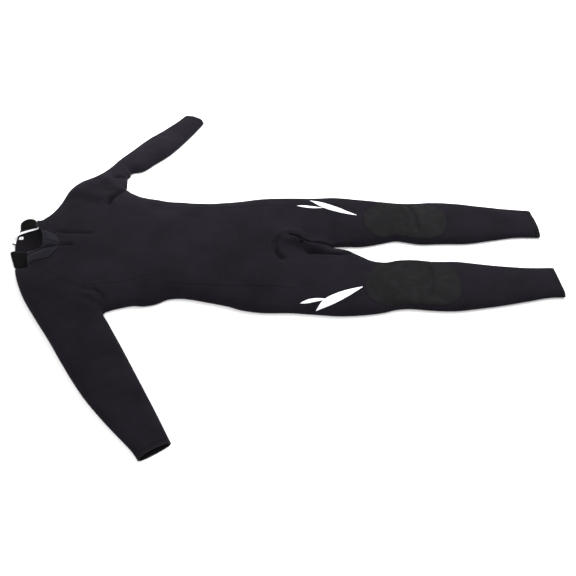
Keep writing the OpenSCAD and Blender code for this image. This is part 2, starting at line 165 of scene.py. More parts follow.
E1 = [(-767, -77), (-760, -96), (-750, -120), (-735, -151), (-709, -197), (-656, -274), (-608, -341), (-561, -411), (-515, -477), (-476, -528), (-438, -571), (-403, -608), (-370, -641), (-336, -676), (-320, -698)]
E2 = [(-249, -652), (-258, -636), (-293, -572), (-332, -503), (-371, -435), (-414, -360), (-459, -284), (-480, -245), (-462, -233), (-438, -225), (-406, -217), (-373, -218), (-341, -210), (-311, -193), (-277, -189), (-242, -194), (-208, -202), (-175, -210), (-142, -219), (-108, -232), (-75, -239), (-42, -243), (23, -243), (88, -248), (153, -254), (186, -254), (219, -252), (252, -248), (285, -242), (318, -232), (352, -228), (384, -230), (417, -234), (482, -236), (549, -227), (618, -215), (687, -200), (758, -185), (797, -184)]
E3 = [(789, -70), (718, -72), (649, -67), (581, -58), (514, -48), (443, -48), (374, -41), (339, -43), (303, -54), (267, -45), (234, -24), (202, -1), (166, 8), (148, 10), (133, 7), (106, 4), (82, 7), (62, 18.5), (47, 28), (31, 34.5)]
E4 = [(31, 34.5), (47, 32), (62, 23.5), (82, 13), (106, 10.5), (133, 14), (148, 17), (166, 21.5), (202, 23), (238, 23), (274, 29), (310, 39), (348, 48), (383, 41), (418, 34), (490, 36), (563, 37), (638, 51), (713, 64), (787, 64)]
E5 = [(778, 184), (770, 185), (696, 192), (624, 203), (551, 216), (475, 221), (400, 215), (327, 222), (252, 233), (176, 243), (98, 240), (23, 240), (-55, 237), (-131, 222), (-167, 217), (-240, 210), (-314, 216), (-351, 219), (-389, 228), (-428, 234), (-455, 247), (-480, 263), (-503, 286), (-502, 305), (-505, 330), (-507, 356), (-500, 364), (-500, 381), (-493, 386), (-462, 395), (-427, 435), (-389, 479), (-355, 533), (-317, 606), (-282, 683)]
E6 = [(-357, 714), (-378, 678), (-415, 627), (-451, 582), (-488, 533), (-518, 483), (-551, 434), (-581, 378), (-609, 342), (-650, 319), (-682, 273), (-696, 208), (-714, 158), (-734, 126)]
NECK_TOP = [E6[-1], (-742, 114), (-738, 101), (-729, 85), (-718, 71), (-704, 56), (-673, 39), (-650.5, 12.5), (-643, -11), (-649.5, -33), (-667, -60), (-690, -66), (-706, -69), (-722, -73), (-728, -76)]
NECK_CORNER = [(-728, -76), E1[0]]

STEP = 6.5
e1, e2, e3, e4, e5, e6 = [curve(p, STEP) for p in (E1, E2, E3, E4, E5, E6)]
cuffR = curve([E1[-1], E2[0]], STEP); ankR = curve([E2[-1], ((E2[-1][0] + E3[0][0]) / 2 + 4, (E2[-1][1] + E3[0][1]) / 2), E3[0]], STEP)
ankL = curve([E4[-1], ((E4[-1][0] + E5[0][0]) / 2 + 4, (E4[-1][1] + E5[0][1]) / 2), E5[0]], STEP)
cuffL = curve([E5[-1], E6[0]], STEP)
def joined(pts, step):
    """Straight runs through pts, with every corner kept."""
    runs = [curve([pts[i], pts[i + 1]], step) for i in range(len(pts) - 1)]
    return np.vstack([r[:-1] for r in runs] + [runs[-1][-1:]])
neckT = np.vstack([curve(NECK_TOP, STEP)[:-1], curve(NECK_CORNER, STEP)])
neckB = joined([NECK_TOP[0], (-735, 118.4), (-706, 118), (-706, -66), (-758, -68), E1[0]], 9)
ORDER = [("lat", e1), ("open", cuffR), ("lat", e2), ("open", ankR), ("lat", e3), ("lat", e4), ("open", ankL), ("lat", e5), ("open", cuffL), ("lat", e6)]
def bowed(c, by):
    """An open edge with its middle moved by a vector; the front and back edges of a cuff don't lie one on the other."""
    t = np.linspace(0, 1, len(c))[:, None]
    return c + 4 * t * (1 - t) * np.array(by, float)
BOW_T = {"cuffR": R_DIR * -1.0, "cuffL": L_DIR * -1.0, "ankR": (-9.0, 0), "ankL": (-7.0, 0)}
BOW_B = {"cuffR": R_DIR * 2.5, "cuffL": L_DIR * 1.5, "ankR": (1.0, 0), "ankL": (1.0, 0)}
def loop(neck, bow):
    pts = []
    for k, c in ORDER + [("open", neck)]:
        for nm, q in (("cuffR", cuffR), ("cuffL", cuffL), ("ankR", ankR), ("ankL", ankL)):
            if c is q:
                c = bowed(c, bow[nm]); break
        pts.extend(c[:-1])
    return np.array(pts)
LOOP_T, LOOP_B = loop(neckT, BOW_T), loop(neckB, BOW_B)
LAT_A = np.vstack([c[:-1] for k, c in ORDER if k == "lat"]); LAT_B = np.vstack([c[1:] for k, c in ORDER if k == "lat"])
def near(c, p):
    return c[((c - np.array(p)) ** 2).sum(1).argmin()]

# lines where the visual pieces part: each is a rigid stretch of fabric between two folds
CUT = {
    "root_r": (near(e1, (-615, -332)), near(e2, (-481, -245))),
    "mid_r": (near(e1, (-556, -419)), near(e2, (-430, -338))),
    "root_l": (near(e6, (-580, 365)), near(e5, (-505, 305))),
    "mid_l": (near(e6, (-530, 446)), near(e5, (-458, 398))),
    "hip_r": (near(e2, (36, -245)), e3[-1]), "hip_l": (e3[-1], near(e5, (36, 218))),
    "mid_thigh_r": (near(e2, (212, -254)), near(e3, (212, -8))), "mid_thigh_l": (near(e4, (212, 21)), near(e5, (212, 217))),
}
def hem_line(a, b, c0, c1, back):
    d = (np.array(c0) + np.array(c1)) / 2
    return (near(a, np.array(c0) + back), near(b, np.array(c1) + back))
CUT["hem_ra"] = hem_line(e1, e2, E1[-1], E2[0], -R_DIR * 13)
CUT["hem_la"] = hem_line(e6, e5, E6[0], E5[-1], -L_DIR * 13)
CUT["hem_rl"] = hem_line(e2, e3, E2[-1], E3[0], np.array([-14.0, 0]))
CUT["hem_ll"] = hem_line(e4, e5, E4[-1], E5[0], np.array([-14.0, 0]))
SEAM_R = [(-702, -72), (-678, -92), (-655, -112), (-628, -134), (-596, -155), (-560, -167), (-520, -167), (-485, -163), (-431, -153), (-400, -140), (-378, -131), (-355, -138), (-320, -152), (-277, -160), (-193, -164), (-110, -168), (-40, -172), (37, -177)]
SEAM_L = [(-738, 96), (-700, 124), (-655, 152), (-620, 172), (-570, 192), (-520, 205), (-480, 203), (-431, 188), (-378, 168), (-333, 160), (-277, 160), (-193, 165), (-110, 172), (-40, 178), (37, 180)]
PIT_R = [(-520, -167), (-504, -188), (-490, -215), tuple(near(e2, (-481, -245)))]
PIT_L = [(-520, 205), (-515, 235), (-510, 270), tuple(near(e5, (-505, 305)))]
SEAMS_T = {"seam_r": curve(SEAM_R, 6), "seam_l": curve(SEAM_L, 6), "pit_r": curve(PIT_R, 6), "pit_l": curve(PIT_L, 6)}
GUSSET = [(38, -59), (-10, -26), (-60, -4), (-60, 5), (-10, 30), (38, 62)]
ZIP_Y = 12.0
ZIP_SLOT = [(-706, ZIP_Y - 13), (-217, ZIP_Y - 13), (-217, ZIP_Y + 13), (-706, ZIP_Y + 13)]
SEAMS_B = {"gusset": curve(GUSSET, 6), "seat_r": curve([near(e2, (-140, -220)), (-135, ZIP_Y)], 7), "seat_l": curve([(-135, ZIP_Y), near(e5, (-140, 203))], 7)}

# ------------------------------------------------------------------ height of the top surface
H0 = 6.0            # height of the side fold
L_SCR = 45.0        # how fast the suit reaches its full height in from the side fold
G = 6.0             # solver grid
def extended():
    P = []
    for k, c in ORDER:
        if k == "lat":
            P.extend(c[:-1])
        elif c is cuffR:
            P.extend([c[0], c[0] + R_DIR * 70, c[-1] + R_DIR * 70])
        elif c is cuffL:
            P.extend([c[0], c[0] + L_DIR * 70, c[-1] + L_DIR * 70])
        else:
            P.extend([c[0], c[0] + np.array([70.0, 0]), c[-1] + np.array([70.0, 0])])
    P.extend([NECK_TOP[0], (-850, 150), (-850, -56), (-724, -56), NECK_CORNER[0]])
    return np.array(P, float)
EXT = extended()
gx = np.arange(-870, 880, G); gy = np.arange(-790, 790, G)
GX, GY = np.meshgrid(gx, gy, indexing="ij")
GP = np.stack([GX.ravel(), GY.ravel()], 1)
gin = inside(GP, EXT)
gd = np.zeros(len(GP))
gd[gin] = seg_dist(GP[gin], EXT, np.roll(EXT, -1, 0))[0]
M = gin.reshape(GX.shape)
phi = np.where(M, 1 - np.exp(-gd.reshape(GX.shape) / L_SCR), 0.0)
k2 = (G / L_SCR) ** 2
for _ in range(420):
    s = np.zeros_like(phi)
    s[1:, :] += phi[:-1, :]; s[:-1, :] += phi[1:, :]; s[:, 1:] += phi[:, :-1]; s[:, :-1] += phi[:, 1:]
    phi = np.where(M, (s + k2) / (4 + k2), 0.0)
gd2 = gd.reshape(GX.shape)
ok = M & (gd2 > 9)
psi = np.where(ok, phi / np.maximum(1 - np.exp(-gd2 / L_SCR), 1e-3), 0.0)
wt = ok.astype(float)
for _ in range(14):        # carry the ratio outwards past the side folds
    s = np.zeros_like(psi); n = np.zeros_like(psi)
    for a, b in ((1, 0), (-1, 0), (0, 1), (0, -1)):
        s += np.roll(np.roll(psi * wt, a, 0), b, 1); n += np.roll(np.roll(wt, a, 0), b, 1)
    new = (wt == 0) & (n > 0)
    psi[new] = s[new] / n[new]; wt[new] = 1.0
for _ in range(3):
    psi = (psi + np.roll(psi, 1, 0) + np.roll(psi, -1, 0) + np.roll(psi, 1, 1) + np.roll(psi, -1, 1)) / 5

def grid_at(F, P):
    u = np.clip((P[:, 0] - gx[0]) / G, 0, len(gx) - 1.001); v = np.clip((P[:, 1] - gy[0]) / G, 0, len(gy) - 1.001)
    i, j = u.astype(int), v.astype(int); a, b = u - i, v - j
    return F[i, j] * (1 - a) * (1 - b) + F[i + 1, j] * a * (1 - b) + F[i, j + 1] * (1 - a) * b + F[i + 1, j + 1] * a * b

AMP = np.array([(-700, 30, 40), (-640, -150, 36), (-640, 180, 38), (-560, 30, 40), (-400, 20, 39), (-250, 10, 37), (-100, 0, 38), (20, -120, 35), (20, 110, 35),
    (-600, -260, 37), (-560, -300, 36), (-430, -460, 35), (-350, -580, 31), (-290, -670, 27),
    (-600, 290, 50), (-560, 320, 56), (-500, 400, 58), (-430, 490, 50), (-370, 590, 44), (-315, 690, 40),
    (130, -120, 35), (130, 115, 35), (260, -140, 34), (260, 120, 34), (385, -136, 32), (385, 118, 32), (520, -140, 31), (520, 115, 31), (660, -130, 29), (660, 118, 29), (790, -125, 25), (790, 118, 25)], float)
def amp(P):
    w = 1.0 / (((P[:, None, :] - AMP[None, :, :2]) ** 2).sum(2) + 900.0) ** 1.6
    return (w * AMP[:, 2]).sum(1) / w.sum(1)

# folds: line, depth (mm), half width (mm), lift of the left-hand side, lift of the right-hand side, width of the lift
FOLDS = [
    # neck to chest
    ([(-684, 54), (-660, 47), (-630, 45), (-590, 44), (-540, 36)], 7.0, 6, 0.2, 0.4, 20),
    ([(-652, -10), (-638, -8), (-620, -7), (-600, -10)], 6.5, 5, 0.2, 0.4, 16),
    ([(-646, -34), (-600, -46), (-560, -50)], 1.0, 18, 0.4, 0.4, 30),
    # right armpit
    ([(-560, -176), (-532, -184), (-506, -188), (-488, -206), (-474, -236)], 4.5, 6, 1.0, 2.4, 20),
    ([(-548, -205), (-520, -222), (-492, -238)], 3.4, 8, 1.0, 1.2, 22),
    ([(-620, -240), (-585, -215), (-550, -200)], 1.4, 18, 0.6, 0.8, 36),
    ([(-700, -84), (-694, -150), (-672, -215)], 1.2, 22, 0.6, 0.6, 36),
    # left armpit: deep diagonal fold and the sleeve bunched over it
    ([(-536, 160), (-531, 180), (-524, 204), (-513, 227), (-503, 256), (-503, 284)], 23.0, 5.5, 2.0, 0.0, 24),
    ([(-548, 306), (-537, 315), (-522, 328), (-511, 341), (-504, 358), (-500, 378)], 16.0, 4.2, 1.0, 0.5, 14),
    ([(-575, 305), (-548, 285), (-528, 262), (-520, 236)], -5.0, 22, 0, 0, 10),
    ([(-690, 232), (-656, 214), (-620, 198), (-580, 184), (-545, 168)], 2.4, 18, 3.4, 0.5, 34),
    ([(-604, 316), (-582, 290), (-562, 258)], 3.0, 12, 2.0, 2.0, 28),
    # left sleeve
    ([(-508, 400), (-490, 412), (-470, 436)], 1.4, 10, 0.6, 0.6, 22),
    ([(-474, 470), (-444, 482), (-415, 482)], 1.6, 10, 0.8, 0.8, 24),
    ([(-430, 560), (-400, 560), (-372, 548)], 1.2, 9, 0.6, 0.6, 22),
    # right sleeve, elbow
    ([(-500, -440), (-462, -424), (-425, -400)], 1.6, 12, 0.8, 1.0, 30),
    ([(-470, -500), (-430, -478), (-396, -455)], 1.4, 12, 0.8, 0.8, 28),
    ([(-420, -560), (-390, -545), (-350, -530)], 1.0, 12, 0.5, 0.6, 26),
    # waist and hip
    ([(-355, -150), (-322, -132), (-280, -128)], 1.8, 14, 0.8, 0.8, 34),
    ([(-300, 210), (-270, 150), (-255, 96)], 1.6, 22, 0.8, 0.8, 44),
    ([(-430, -20), (-330, -10), (-240, 0)], 1.0, 36, 0.5, 0.5, 60),
    # crotch: the curl left of the slit, the slit's lip, and the tuck below it
    ([(-2, 38), (-9, 24), (-15, 8), (-18, -14), (-12, -38), (6, -60), (22, -72)], 11.0, 8, 3.0, 0.0, 20),
    ([(-30, 66), (-50, 20), (-46, -24), (-26, -66)], 2.0, 20, 1.2, 0.6, 30),
    ([(60, -20), (74, -27), (98, -31), (130, -33), (168, -35), (198, -28), (226, -22)], 15.0, 6, 1.0, 0.6, 12),
    ([(20, 30), (36, 23), (48, 17), (62, 8), (82, -4), (106, -8), (128, -7)], -4.0, 8, 0, 0, 10),
    ([(10, 50), (36, 45), (60, 37), (82, 25), (106, 21), (133, 26), (160, 31), (190, 39)], 4.0, 12, 0, 0, 10),
    ([(18, -52), (70, -58), (130, -60), (176, -56)], 2.4, 16, 0.4, 0.4, 30),
    ([(20, -100), (40, -145), (70, -190)], 1.4, 24, 0.7, 0.7, 44),
    ([(-10, 84), (20, 130), (50, 180)], 1.4, 24, 0.7, 0.7, 44),
    # knees
    ([(420, -62), (425, -100), (425, -140), (420, -184), (408, -226)], 4.6, 6, 1.4, 1.4, 18),
    ([(352, -214), (330, -170), (322, -120), (330, -70)], 1.2, 16, 0.6, 0.6, 30),
    ([(392, 200), (402, 160), (409, 120), (411, 78), (404, 52)], 5.0, 6, 1.4, 1.4, 18),
    ([(330, 196), (322, 150), (326, 96), (338, 58)], 1.2, 16, 0.6, 0.6, 30),
    # thighs
    ([(150, -38), (205, -60), (258, -72)], 1.8, 10, 0.8, 0.8, 24),
    ([(196, -30), (226, -48), (262, -58)], 1.6, 7, 0.6, 0.6, 18),
    ([(205, -214), (250, -196), (292, -178)], 1.0, 14, 0.5, 0.5, 28),
]
def folds(P):
    z = np.zeros(len(P))
    for line, dep, w, up_l, up_r, uw in FOLDS:
        c = curve(line, 5)
        m = (P[:, 0] > c[:, 0].min() - 3 * uw) & (P[:, 0] < c[:, 0].max() + 3 * uw) & (P[:, 1] > c[:, 1].min() - 3 * uw) & (P[:, 1] < c[:, 1].max() + 3 * uw)
        if not m.any():
            continue
        D, t, side = line_dist(P[m], c)
        fade = smooth(0, 0.22, t) * smooth(1, 0.78, t) + 0.0
        # past the ends the fold dies away
        core = np.exp(-(D / w) ** 2)
        lift = np.exp(-((D - uw * 0.9) / (uw * 0.55)) ** 2)
        z[m] += fade * (-dep * core + np.where(side > 0, up_l, up_r) * lift)
    return z
EYE = np.array([62.0, 1.0])
def eyelet(P):
    """A small sewn eye beside the fork, with a raised rim."""
    r = np.linalg.norm((P - EYE) / np.array([1.1, 1.0]), axis=1)
    return 3.2 * np.exp(-((r - 8.2) / 2.6) ** 2) - 12.0 * np.exp(-(r / 4.2) ** 2)
WAVES = [(0.021, 0.033, 1.1, 0.3), (-0.034, 0.017, 0.8, 1.7), (0.012, -0.046, 0.7, 2.9), (0.055, 0.021, 0.45, 0.8), (-0.028, -0.061, 0.4, 4.1), (0.083, -0.047, 0.22, 2.2), (0.04, 0.09, 0.2, 5.0)]
def waves(P):
    z = np.zeros(len(P))
    wob = 14 * np.sin(P[:, 0] * 0.013 + P[:, 1] * 0.009)
    for a, b, m, ph in WAVES:
        z += m * np.sin(a * (P[:, 0] + wob) + b * (P[:, 1] - wob) + ph)
    return z
def lat_dist(P):
    return seg_dist(P, LAT_A, LAT_B)[0]
CORNER_C = curve(NECK_CORNER, 6)
TOP_A, TOP_B = np.vstack([LAT_A, CORNER_C[:-1]]), np.vstack([LAT_B, CORNER_C[1:]])
def top_dist(P):
    return seg_dist(P, TOP_A, TOP_B)[0]
SLIT = curve([(31, 34.5), (47, 30), (62, 21), (82, 10), (106, 7), (133, 10.5), (166, 14.5)], 5)
def steep(P):
    D, t, _ = line_dist(P, SLIT)
    return 1 + 16.0 * np.exp(-(D / 18) ** 2) * smooth(0.95, 0.5, t)
def z_top(P, d=None, detail=True):
    P = np.asarray(P, float)
    if d is None:
        d = top_dist(P)
    r = np.clip(grid_at(psi, P), 0, 1.5) * (1 - np.exp(-d * steep(P) / L_SCR))
    z = H0 + amp(P) * np.sqrt(np.maximum(r, 0))
    if detail:
        f = smooth(2, 26, d)
        z = z + folds(P) * smooth(0, 11, d) + waves(P) * f + eyelet(P)
    return np.maximum(z, H0)
def z_bot(P, d):
    t = 1 - np.clip(d / 9.0, 0, 1)
    return 0.5 + (H0 - 0.5) * (1 - np.sqrt(np.maximum(1 - t * t, 0)))

# ------------------------------------------------------------------ triangulated sheets
def hexgrid(x0, x1, y0, y1, s):
    ys = np.arange(y0, y1, s * 0.8660254); pts = []
    for i, y in enumerate(ys):
        xs = np.arange(x0 + (s / 2 if i % 2 else 0), x1, s)
        pts.append(np.stack([xs, np.full(len(xs), y)], 1))
    return np.vstack(pts)
def thin(P, keep, r):
    """Drop the points of P that come within r of a point of keep."""
    if not len(keep) or not len(P):
        return P
    cell = {}
    for q in keep:
        cell.setdefault((int(q[0] // r), int(q[1] // r)), []).append(q)
    out = []
    r2 = r * r
    for p in P:
        i, j = int(p[0] // r), int(p[1] // r)
        hit = False
        for a in (i - 1, i, i + 1):
            for b in (j - 1, j, j + 1):
                for q in cell.get((a, b), ()):
                    if (p[0] - q[0]) ** 2 + (p[1] - q[1]) ** 2 < r2:
                        hit = True; break
                if hit: break
            if hit: break
        if not hit:
            out.append(p)
    return np.array(out) if out else np.zeros((0, 2))
def spread(P, r):
    """Keep points no closer together than r."""
    cell = {}; out = []
    for p in P.tolist():
        i, j = int(p[0] // r), int(p[1] // r)
        if all((p[0] - q[0]) ** 2 + (p[1] - q[1]) ** 2 >= r * r for a in (i - 1, i, i + 1) for b in (j - 1, j, j + 1) for q in cell.get((a, b), ())):
            cell.setdefault((i, j), []).append(p); out.append(p)
    return np.array(out)
def normals2(loop_pts):
    t = np.roll(loop_pts, -1, 0) - np.roll(loop_pts, 1, 0)
    t /= np.maximum(np.linalg.norm(t, axis=1)[:, None], 1e-9)
    return np.stack([-t[:, 1], t[:, 0]], 1)

def sheet_mesh(LOOP, lines, spacing, rings, rowgap, holes=(), loose=None):
    """Triangles over the outline: even in the middle, dense rings along the side folds, rows beside each seam."""
    fixed = [tuple(p) for p in LOOP]
    index = {(round(p[0], 3), round(p[1], 3)): i for i, p in enumerate(fixed)}
    edges = [(i, (i + 1) % len(fixed)) for i in range(len(fixed))]
    def add(p):
        k = (round(p[0], 3), round(p[1], 3))
        if k not in index:
            index[k] = len(fixed); fixed.append((float(p[0]), float(p[1])))
        return index[k]
    rows = []
    for ln, off in lines:
        ids = [add(p) for p in ln]
        edges += [(a, b) for a, b in zip(ids, ids[1:]) if a != b]
        if off and len(ln) > 2:
            t = np.gradient(ln, axis=0); t /= np.linalg.norm(t, axis=1)[:, None]
            n = np.stack([-t[:, 1], t[:, 0]], 1)
            rows += [ln + n * off, ln - n * off]
    for hole in holes:
        ids = [add(p) for p in hole]
        edges += [(a, b) for a, b in zip(ids, ids[1:] + ids[:1]) if a != b]
    F = np.array(fixed)
    A, B = LOOP, np.roll(LOOP, -1, 0)
    got = F
    extra = []
    if rows:
        R = np.vstack(rows); R = R[inside(R, LOOP)]
        R = R[seg_dist(R, A, B)[0] > 2.0]
        R = thin(R, F, rowgap * 0.75); extra.append(R); got = np.vstack([got, R])
    if loose is not None:
        R = loose[inside(loose, LOOP)]
        R = R[seg_dist(R, A, B)[0] > 1.6]
        R = thin(R, got, 1.7); R = spread(R, 1.9); extra.append(R); got = np.vstack([got, R])
    for k, c in ORDER:
        if k != "lat":
            continue
        t = np.gradient(c, axis=0); t /= np.linalg.norm(t, axis=1)[:, None]
        n = np.stack([-t[:, 1], t[:, 0]], 1)
        for r in rings:
            for sgn in (1, -1):
                Q = c + n * r * sgn
                Q = Q[inside(Q, LOOP)]
                if len(Q):
                    Q = Q[lat_dist(Q) > r * 0.93]
                if len(Q):
                    Q = Q[seg_dist(Q, A, B)[0] > min(r * 0.93, 1.5)]
                    Q = thin(Q, got, min(r, 2.6) * 0.62)
                if len(Q):
                    extra.append(Q); got = np.vstack([got, Q])
    lo, hi = LOOP.min(0), LOOP.max(0)
    Hx = hexgrid(lo[0], hi[0], lo[1], hi[1], spacing)
    Hx = Hx[inside(Hx, LOOP)]
    Hx = Hx[seg_dist(Hx, A, B)[0] > spacing * 0.5]
    Hx = Hx[lat_dist(Hx) > rings[-1] + spacing * 0.45]
    Hx = thin(Hx, got, spacing * 0.62)
    extra.append(Hx)
    V = np.vstack([F] + extra)
    out = delaunay_2d_cdt([Vector(p) for p in V], edges, [], 0, 1e-5)
    v2 = np.array([tuple(v) for v in out[0]]); tri = np.array([f for f in out[2] if len(f) == 3])
    c = v2[tri].mean(1)
    keep = inside(c, LOOP)
    for hole in holes:
        keep &= ~inside(c, hole)
    tri = tri[keep]
    a = v2[tri]
    area = (a[:, 1, 0] - a[:, 0, 0]) * (a[:, 2, 1] - a[:, 0, 1]) - (a[:, 1, 1] - a[:, 0, 1]) * (a[:, 2, 0] - a[:, 0, 0])
    tri[area < 0] = tri[area < 0][:, ::-1]
    tri = tri[np.abs(area) > 1e-4]
    used = np.unique(tri); remap = -np.ones(len(v2), int); remap[used] = np.arange(len(used))
    return v2[used], remap[tri]

def cutline(k, step=6.0):
    a, b = CUT[k]
    return curve([a, b], step)
cut_lines = [(cutline(k), 0) for k in CUT]
def offset(c, o):
    t = np.gradient(c, axis=0); t /= np.linalg.norm(t, axis=1)[:, None]
    return c + np.stack([-t[:, 1], t[:, 0]], 1) * o
top_lines = cut_lines + [(c, 2.6) for c in SEAMS_T.values()]
tight_rows = [curve(f[0], 3.0) for f in FOLDS if f[2] <= 6]
tight_rows = np.vstack([offset(c, o) for c in tight_rows for o in (0, 2.2, -2.2, 4.4, -4.4)] + [EYE + np.array([[1.1 * r * math.cos(a), r * math.sin(a)] for a in np.linspace(0, 2 * math.pi, k, endpoint=False)]) for r, k in ((0.01, 1), (2.2, 7), (4.4, 13), (6.6, 20), (8.8, 26), (11.0, 32))])
bot_lines = cut_lines + [(c, 0) for c in SEAMS_B.values()] + [(curve([(-706, ZIP_Y - 13), (-217, ZIP_Y - 13)], 8), 0), (curve([(-217, ZIP_Y - 13), (-217, ZIP_Y + 13)], 8), 0), (curve([(-706, ZIP_Y + 13), (-217, ZIP_Y + 13)], 8), 0)]
T2, TF = sheet_mesh(LOOP_T, top_lines, 5.0, (0.7, 2.0, 4.2, 7.5, 12.0), 2.6, loose=tight_rows)
B2, BF = sheet_mesh(LOOP_B, bot_lines, 16.0, (1.5, 4.5, 9.0), 4.0)
bc = B2[BF].mean(1)
BF = BF[~inside(bc, np.array(ZIP_SLOT) + np.array([(-30, 0), (0, 0), (0, 0), (-30, 0)]))]

dT, dB = top_dist(T2), lat_dist(B2)
dW = lat_dist(T2)
zT = z_top(T2, dT)
# seams sit in shallow grooves
for c in SEAMS_T.values():
    D, t, _ = line_dist(T2, c)
    zT -= 0.9 * np.exp(-(D / 1.6) ** 2) * (dT > 0.5)
zT[dT < 0.05] = H0
zB = z_bot(B2, dB); zB[dB < 0.05] = H0
# weld the two sheets along the side folds
key = lambda p: (round(p[0], 2), round(p[1], 2))
tmap = {key(p): i for i, p in enumerate(T2) if dW[i] < 0.05}
bid = np.empty(len(B2), int); nxt = len(T2); newb = []
for i, p in enumerate(B2):
    j = tmap.get(key(p)) if dB[i] < 0.05 else None
    if j is None:
        bid[i] = nxt; nxt += 1; newb.append(i)
    else:
        bid[i] = j
V3 = np.vstack([np.column_stack([T2, zT]), np.column_stack([B2[newb], zB[newb]])])
FT = TF.copy(); FB = bid[BF][:, ::-1]
F3 = np.vstack([FT, FB]); is_top = np.arange(len(F3)) < len(FT)

def vertex_normals(V, F):
    a, b, c = V[F[:, 0]], V[F[:, 1]], V[F[:, 2]]
    fn = np.cross(b - a, c - a)
    N = np.zeros_like(V)
    for k in range(3):
        np.add.at(N, F[:, k], fn)
    L = np.linalg.norm(N, axis=1)[:, None]
    return N / np.maximum(L, 1e-12)
N3 = vertex_normals(V3, F3)

# ------------------------------------------------------------------ which panel each triangle belongs to
C2 = np.vstack([T2[TF].mean(1), B2[BF].mean(1)])
def side_of(C, line):
    return np.interp(C[:, 0], np.array(line)[:, 0], np.array(line)[:, 1])
def past(C, k, towards):
    """True for centres on the far side of cut line k, seen from the trunk."""
    a, b = CUT[k]
    d = b - a; n = np.array([-d[1], d[0]])
    if n @ np.array(towards) < 0:
        n = -n
    return (C - a) @ n > 0
sr = (C2 - RA) @ R_NRM; sl = (C2 - LA) @ L_NRM
arm_r = past(C2, "root_r", R_DIR) & (sr < 92) & (C2[:, 1] < -200) & (C2[:, 0] < -200)
arm_l = past(C2, "root_l", L_DIR) & (sl > -62) & (C2[:, 1] > 280) & (C2[:, 0] < -200)
# right of the armpits the trunk's own flank is not part of a sleeve
arm_r &= ~((C2[:, 1] > -262) & (C2[:, 0] > -480))
mid_y = np.interp(C2[:, 0], [31, 47, 62, 82, 106, 133, 166, 215, 800], [34.5, 30, 21, 10, 7, 10.5, 14.5, 8, 0])
leg_r = (C2[:, 0] > 0) & past(C2, "hip_r", (1, 0)) & (C2[:, 1] < mid_y) & ~arm_r
leg_l = (C2[:, 0] > 0) & past(C2, "hip_l", (1, 0)) & (C2[:, 1] >= mid_y) & ~arm_l
lab = np.full(len(C2), "", dtype=object)
tt = "front"
def put(mask, name):
    lab[mask & (lab == "")] = name
for S, arm, mid, hem, d in (("right", arm_r, "mid_r", "hem_ra", R_DIR), ("left", arm_l, "mid_l", "hem_la", L_DIR)):
    put(arm & past(C2, hem, d), f"{S}_wrist_hem")
    for top, nm in ((is_top, "front"), (~is_top, "back")):
        put(arm & ~past(C2, mid, d) & top, f"{S}_upper_sleeve_{nm}")
        put(arm & top, f"{S}_forearm_{nm}")
for S, leg, mid, hem in (("right", leg_r, "mid_thigh_r", "hem_rl"), ("left", leg_l, "mid_thigh_l", "hem_ll")):
    put(leg & past(C2, hem, (1, 0)), f"{S}_ankle_hem")
    for top, nm in ((is_top, "front"), (~is_top, "back")):
        put(leg & ~past(C2, mid, (1, 0)) & top, f"{S}_thigh_{nm}")
        put(leg & top, f"{S}_shin_{nm}")
rest = lab == ""
below_r = C2[:, 1] < side_of(C2, SEAM_R); above_l = C2[:, 1] > side_of(C2, SEAM_L)
def beyond(C, line):   # towards the ankles of a line that runs across
    L = np.array(line)
    return C[:, 0] > np.interp(-np.abs(C[:, 1]), -np.abs(L[::-1, 1]) if abs(L[0, 1]) > abs(L[-1, 1]) else -np.abs(L[::-1, 1]), L[::-1, 0])
pr = np.interp(-C2[:, 1], -np.array(PIT_R)[:, 1], np.array(PIT_R)[:, 0]); pl = np.interp(C2[:, 1], np.array(PIT_L)[:, 1], np.array(PIT_L)[:, 0])
put(rest & is_top & below_r & (C2[:, 0] <= pr), "right_shoulder_panel")
put(rest & is_top & below_r, "right_side_panel")
put(rest & is_top & above_l & (C2[:, 0] <= pl), "left_shoulder_panel")
put(rest & is_top & above_l, "left_side_panel")
put(rest & is_top, "chest_panel")
put(~is_top & inside(C2, np.array(GUSSET)), "crotch_gusset")
put(~is_top & (C2[:, 0] > -135 - np.abs(C2[:, 1] - ZIP_Y) * 0.0) & rest, "seat_panel")
put(rest, "upper_back_panel")

# ------------------------------------------------------------------ mesh objects
def to_object(name, V, F, smooth_=True, loop_normals=None, mat=None):
    me = bpy.data.meshes.new(name)
    V = np.asarray(V, float) / 1000.0
    me.from_pydata([tuple(v) for v in V], [], [tuple(int(i) for i in f) for f in F])
    me.validate(clean_customdata=False)
    if smooth_:
        me.polygons.foreach_set("use_smooth", [True] * len(me.polygons))
    if loop_normals is not None and len(loop_normals) == len(me.loops):
        me.normals_split_custom_set([tuple(n) for n in loop_normals])
    me.update()
    o = bpy.data.objects.new(name, me)
    SC.collection.objects.link(o)
    if mat is not None:
        me.materials.append(mat)
    return o

